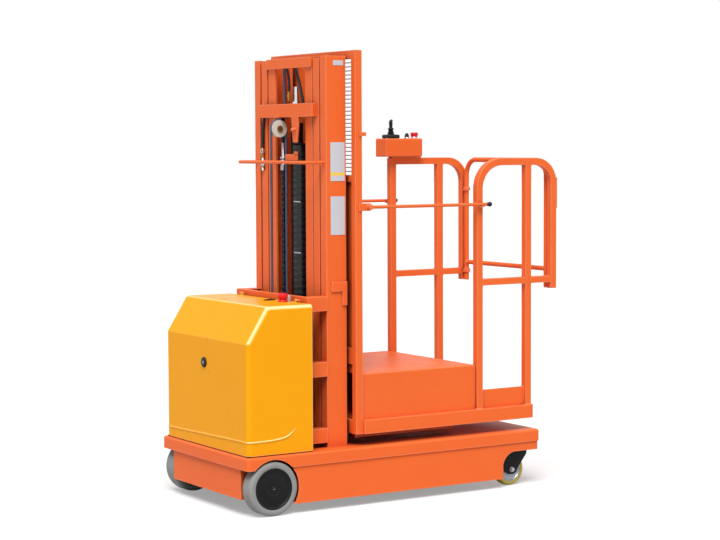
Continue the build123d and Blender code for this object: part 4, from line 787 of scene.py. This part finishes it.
gate_x, foot_z = middle("rear_gate")[0], corners("rear_gate")[0][2]
gate_welds = bmesh.new()
for side in (-1, 1):
    turned(gate_welds, [(12.0, -5), (13.2, -5), (13.0, 0.5), (12.5, 2), (12.0, 2.4)],
           facing((gate_x, side * 328.5, 1063), (0, -side, 0)), 28, closed=True)
keep("gate_welds", gate_welds, orange, "gate", smooth=60)
caps = bmesh.new()
cap_half = rail_half - 0.5
for side in (-1, 1):
    slab(
        caps, (tail - cap_half, side * rail_y - cap_half, foot_z - 1.4),
        (tail + cap_half, side * rail_y + cap_half, foot_z + 0.2), 0.7, 1)
keep("tail_caps", caps, black_plastic, "platform")
gate_caps = bmesh.new()
for side in (-1, 1):
    turned(gate_caps, [(0, -1.4), (10.8, -1.4), (12.4, -0.6), (12.4, 0.2), (0, 0.2)],
           Matrix.Translation((gate_x, side * 341, foot_z)), 28)
keep("gate_caps", gate_caps, black_plastic, "gate")

# Camera, from the photograph's viewpoint: place in metres, heading from +Y towards +X

eye_place = Vector((-4.99259, -7.88965, 1.68773))
yaw, tilt, roll = radians(32.23126), radians(-3.78096), radians(-0.24671)
ahead = Vector((sin(yaw) * cos(tilt), cos(yaw) * cos(tilt), sin(tilt)))
level = Vector((cos(yaw), -sin(yaw), 0))
above = level.cross(ahead)
across = level * cos(roll) + above * sin(roll)
upward = above * cos(roll) - level * sin(roll)
view = bpy.data.cameras.new("photo_view")
# focal length and film width in millimetres
view.lens = 95.4056
view.sensor_width = 36
view.clip_end = 200
eye = bpy.data.objects.new("photo_view", view)
eye.matrix_world = Matrix((
    (across.x, upward.x, -ahead.x, eye_place.x),
    (across.y, upward.y, -ahead.y, eye_place.y),
    (across.z, upward.z, -ahead.z, eye_place.z),
    (0, 0, 0, 1),
))
bpy.context.scene.collection.objects.link(eye)
bpy.context.scene.camera = eye

# Floor: pale studio paper, white to the camera away from the object's shadow

floor_mat, floor_tree, floor_shader, floor_place = start("studio_paper")
paper = node(floor_tree, "ShaderNodeTexNoise", {"Vector": floor_place, "Scale": 9.0, "Detail": 2.0})
paper_tone = node(floor_tree, "ShaderNodeMix", {
    0: paper.outputs[0], 6: colour("#CBCBCB"), 7: colour("#C8C8C8")}, data_type="RGBA")
floor_tree.links.new(paper_tone.outputs[2], floor_shader.inputs["Base Color"])
floor_shader.inputs["Roughness"].default_value = 0.9
floor_shader.inputs["Specular IOR Level"].default_value = 0.1
rays = node(floor_tree, "ShaderNodeLightPath")
lift = node(floor_tree, "ShaderNodeMath", {0: rays.outputs["Is Camera Ray"], 1: 0.32}, operation="MULTIPLY")
floor_shader.inputs["Emission Color"].default_value = (1, 1, 1, 1)
floor_tree.links.new(lift.outputs[0], floor_shader.inputs["Emission Strength"])
paper_half, paper_drop = 60.0, 0.0006
ground = bmesh.new()
bmesh.ops.create_grid(ground, x_segments=1, y_segments=1, size=paper_half)
bmesh.ops.translate(ground, vec=(0, 0, -paper_drop), verts=ground.verts)
ground_mesh = bpy.data.meshes.new("studio_floor")
ground.to_mesh(ground_mesh)
ground.free()
ground_mesh.materials.append(floor_mat)
studio = bpy.data.objects.new("studio_floor", ground_mesh)
bpy.context.scene.collection.objects.link(studio)

# World: an even pale room, dimmer to the object's diffuse faces than to the camera and to reflections

world = bpy.data.worlds.new("pale_room")
world.use_nodes = True
room = world.node_tree
room.nodes.clear()
seen = node(room, "ShaderNodeLightPath")
seen_or_mirrored = node(room, "ShaderNodeMath", {
    0: seen.outputs["Is Camera Ray"], 1: seen.outputs["Is Glossy Ray"]}, operation="MAXIMUM")
full = node(room, "ShaderNodeMath", {
    0: seen_or_mirrored.outputs[0], 1: seen.outputs["Is Transmission Ray"]}, operation="MAXIMUM")
strength = node(room, "ShaderNodeMapRange", {0: full.outputs[0], 3: 0.35, 4: 1.0})
light = node(room, "ShaderNodeBackground", {0: (1, 1, 1, 1), 1: strength.outputs[0]})
node(room, "ShaderNodeOutputWorld", {"Surface": light.outputs[0]})
bpy.context.scene.world = world

# Lamps: a broad soft one high behind the camera and a weak fill from its right

for lamp_name, aim, power, angle in (
    ("key_lamp", (-0.35, -0.42, 0.84), 3.6, 35),
    ("fill_lamp", (0.75, -0.35, 0.56), 0.25, 60),
):
    lamp = bpy.data.lights.new(lamp_name, "SUN")
    lamp.energy = power
    lamp.angle = radians(angle)
    holder = bpy.data.objects.new(lamp_name, lamp)
    holder.matrix_world = facing((0, 0, 0), aim)
    bpy.context.scene.collection.objects.link(holder)

bpy.context.scene.view_settings.view_transform = "Standard"

bpy.context.view_layer.update()
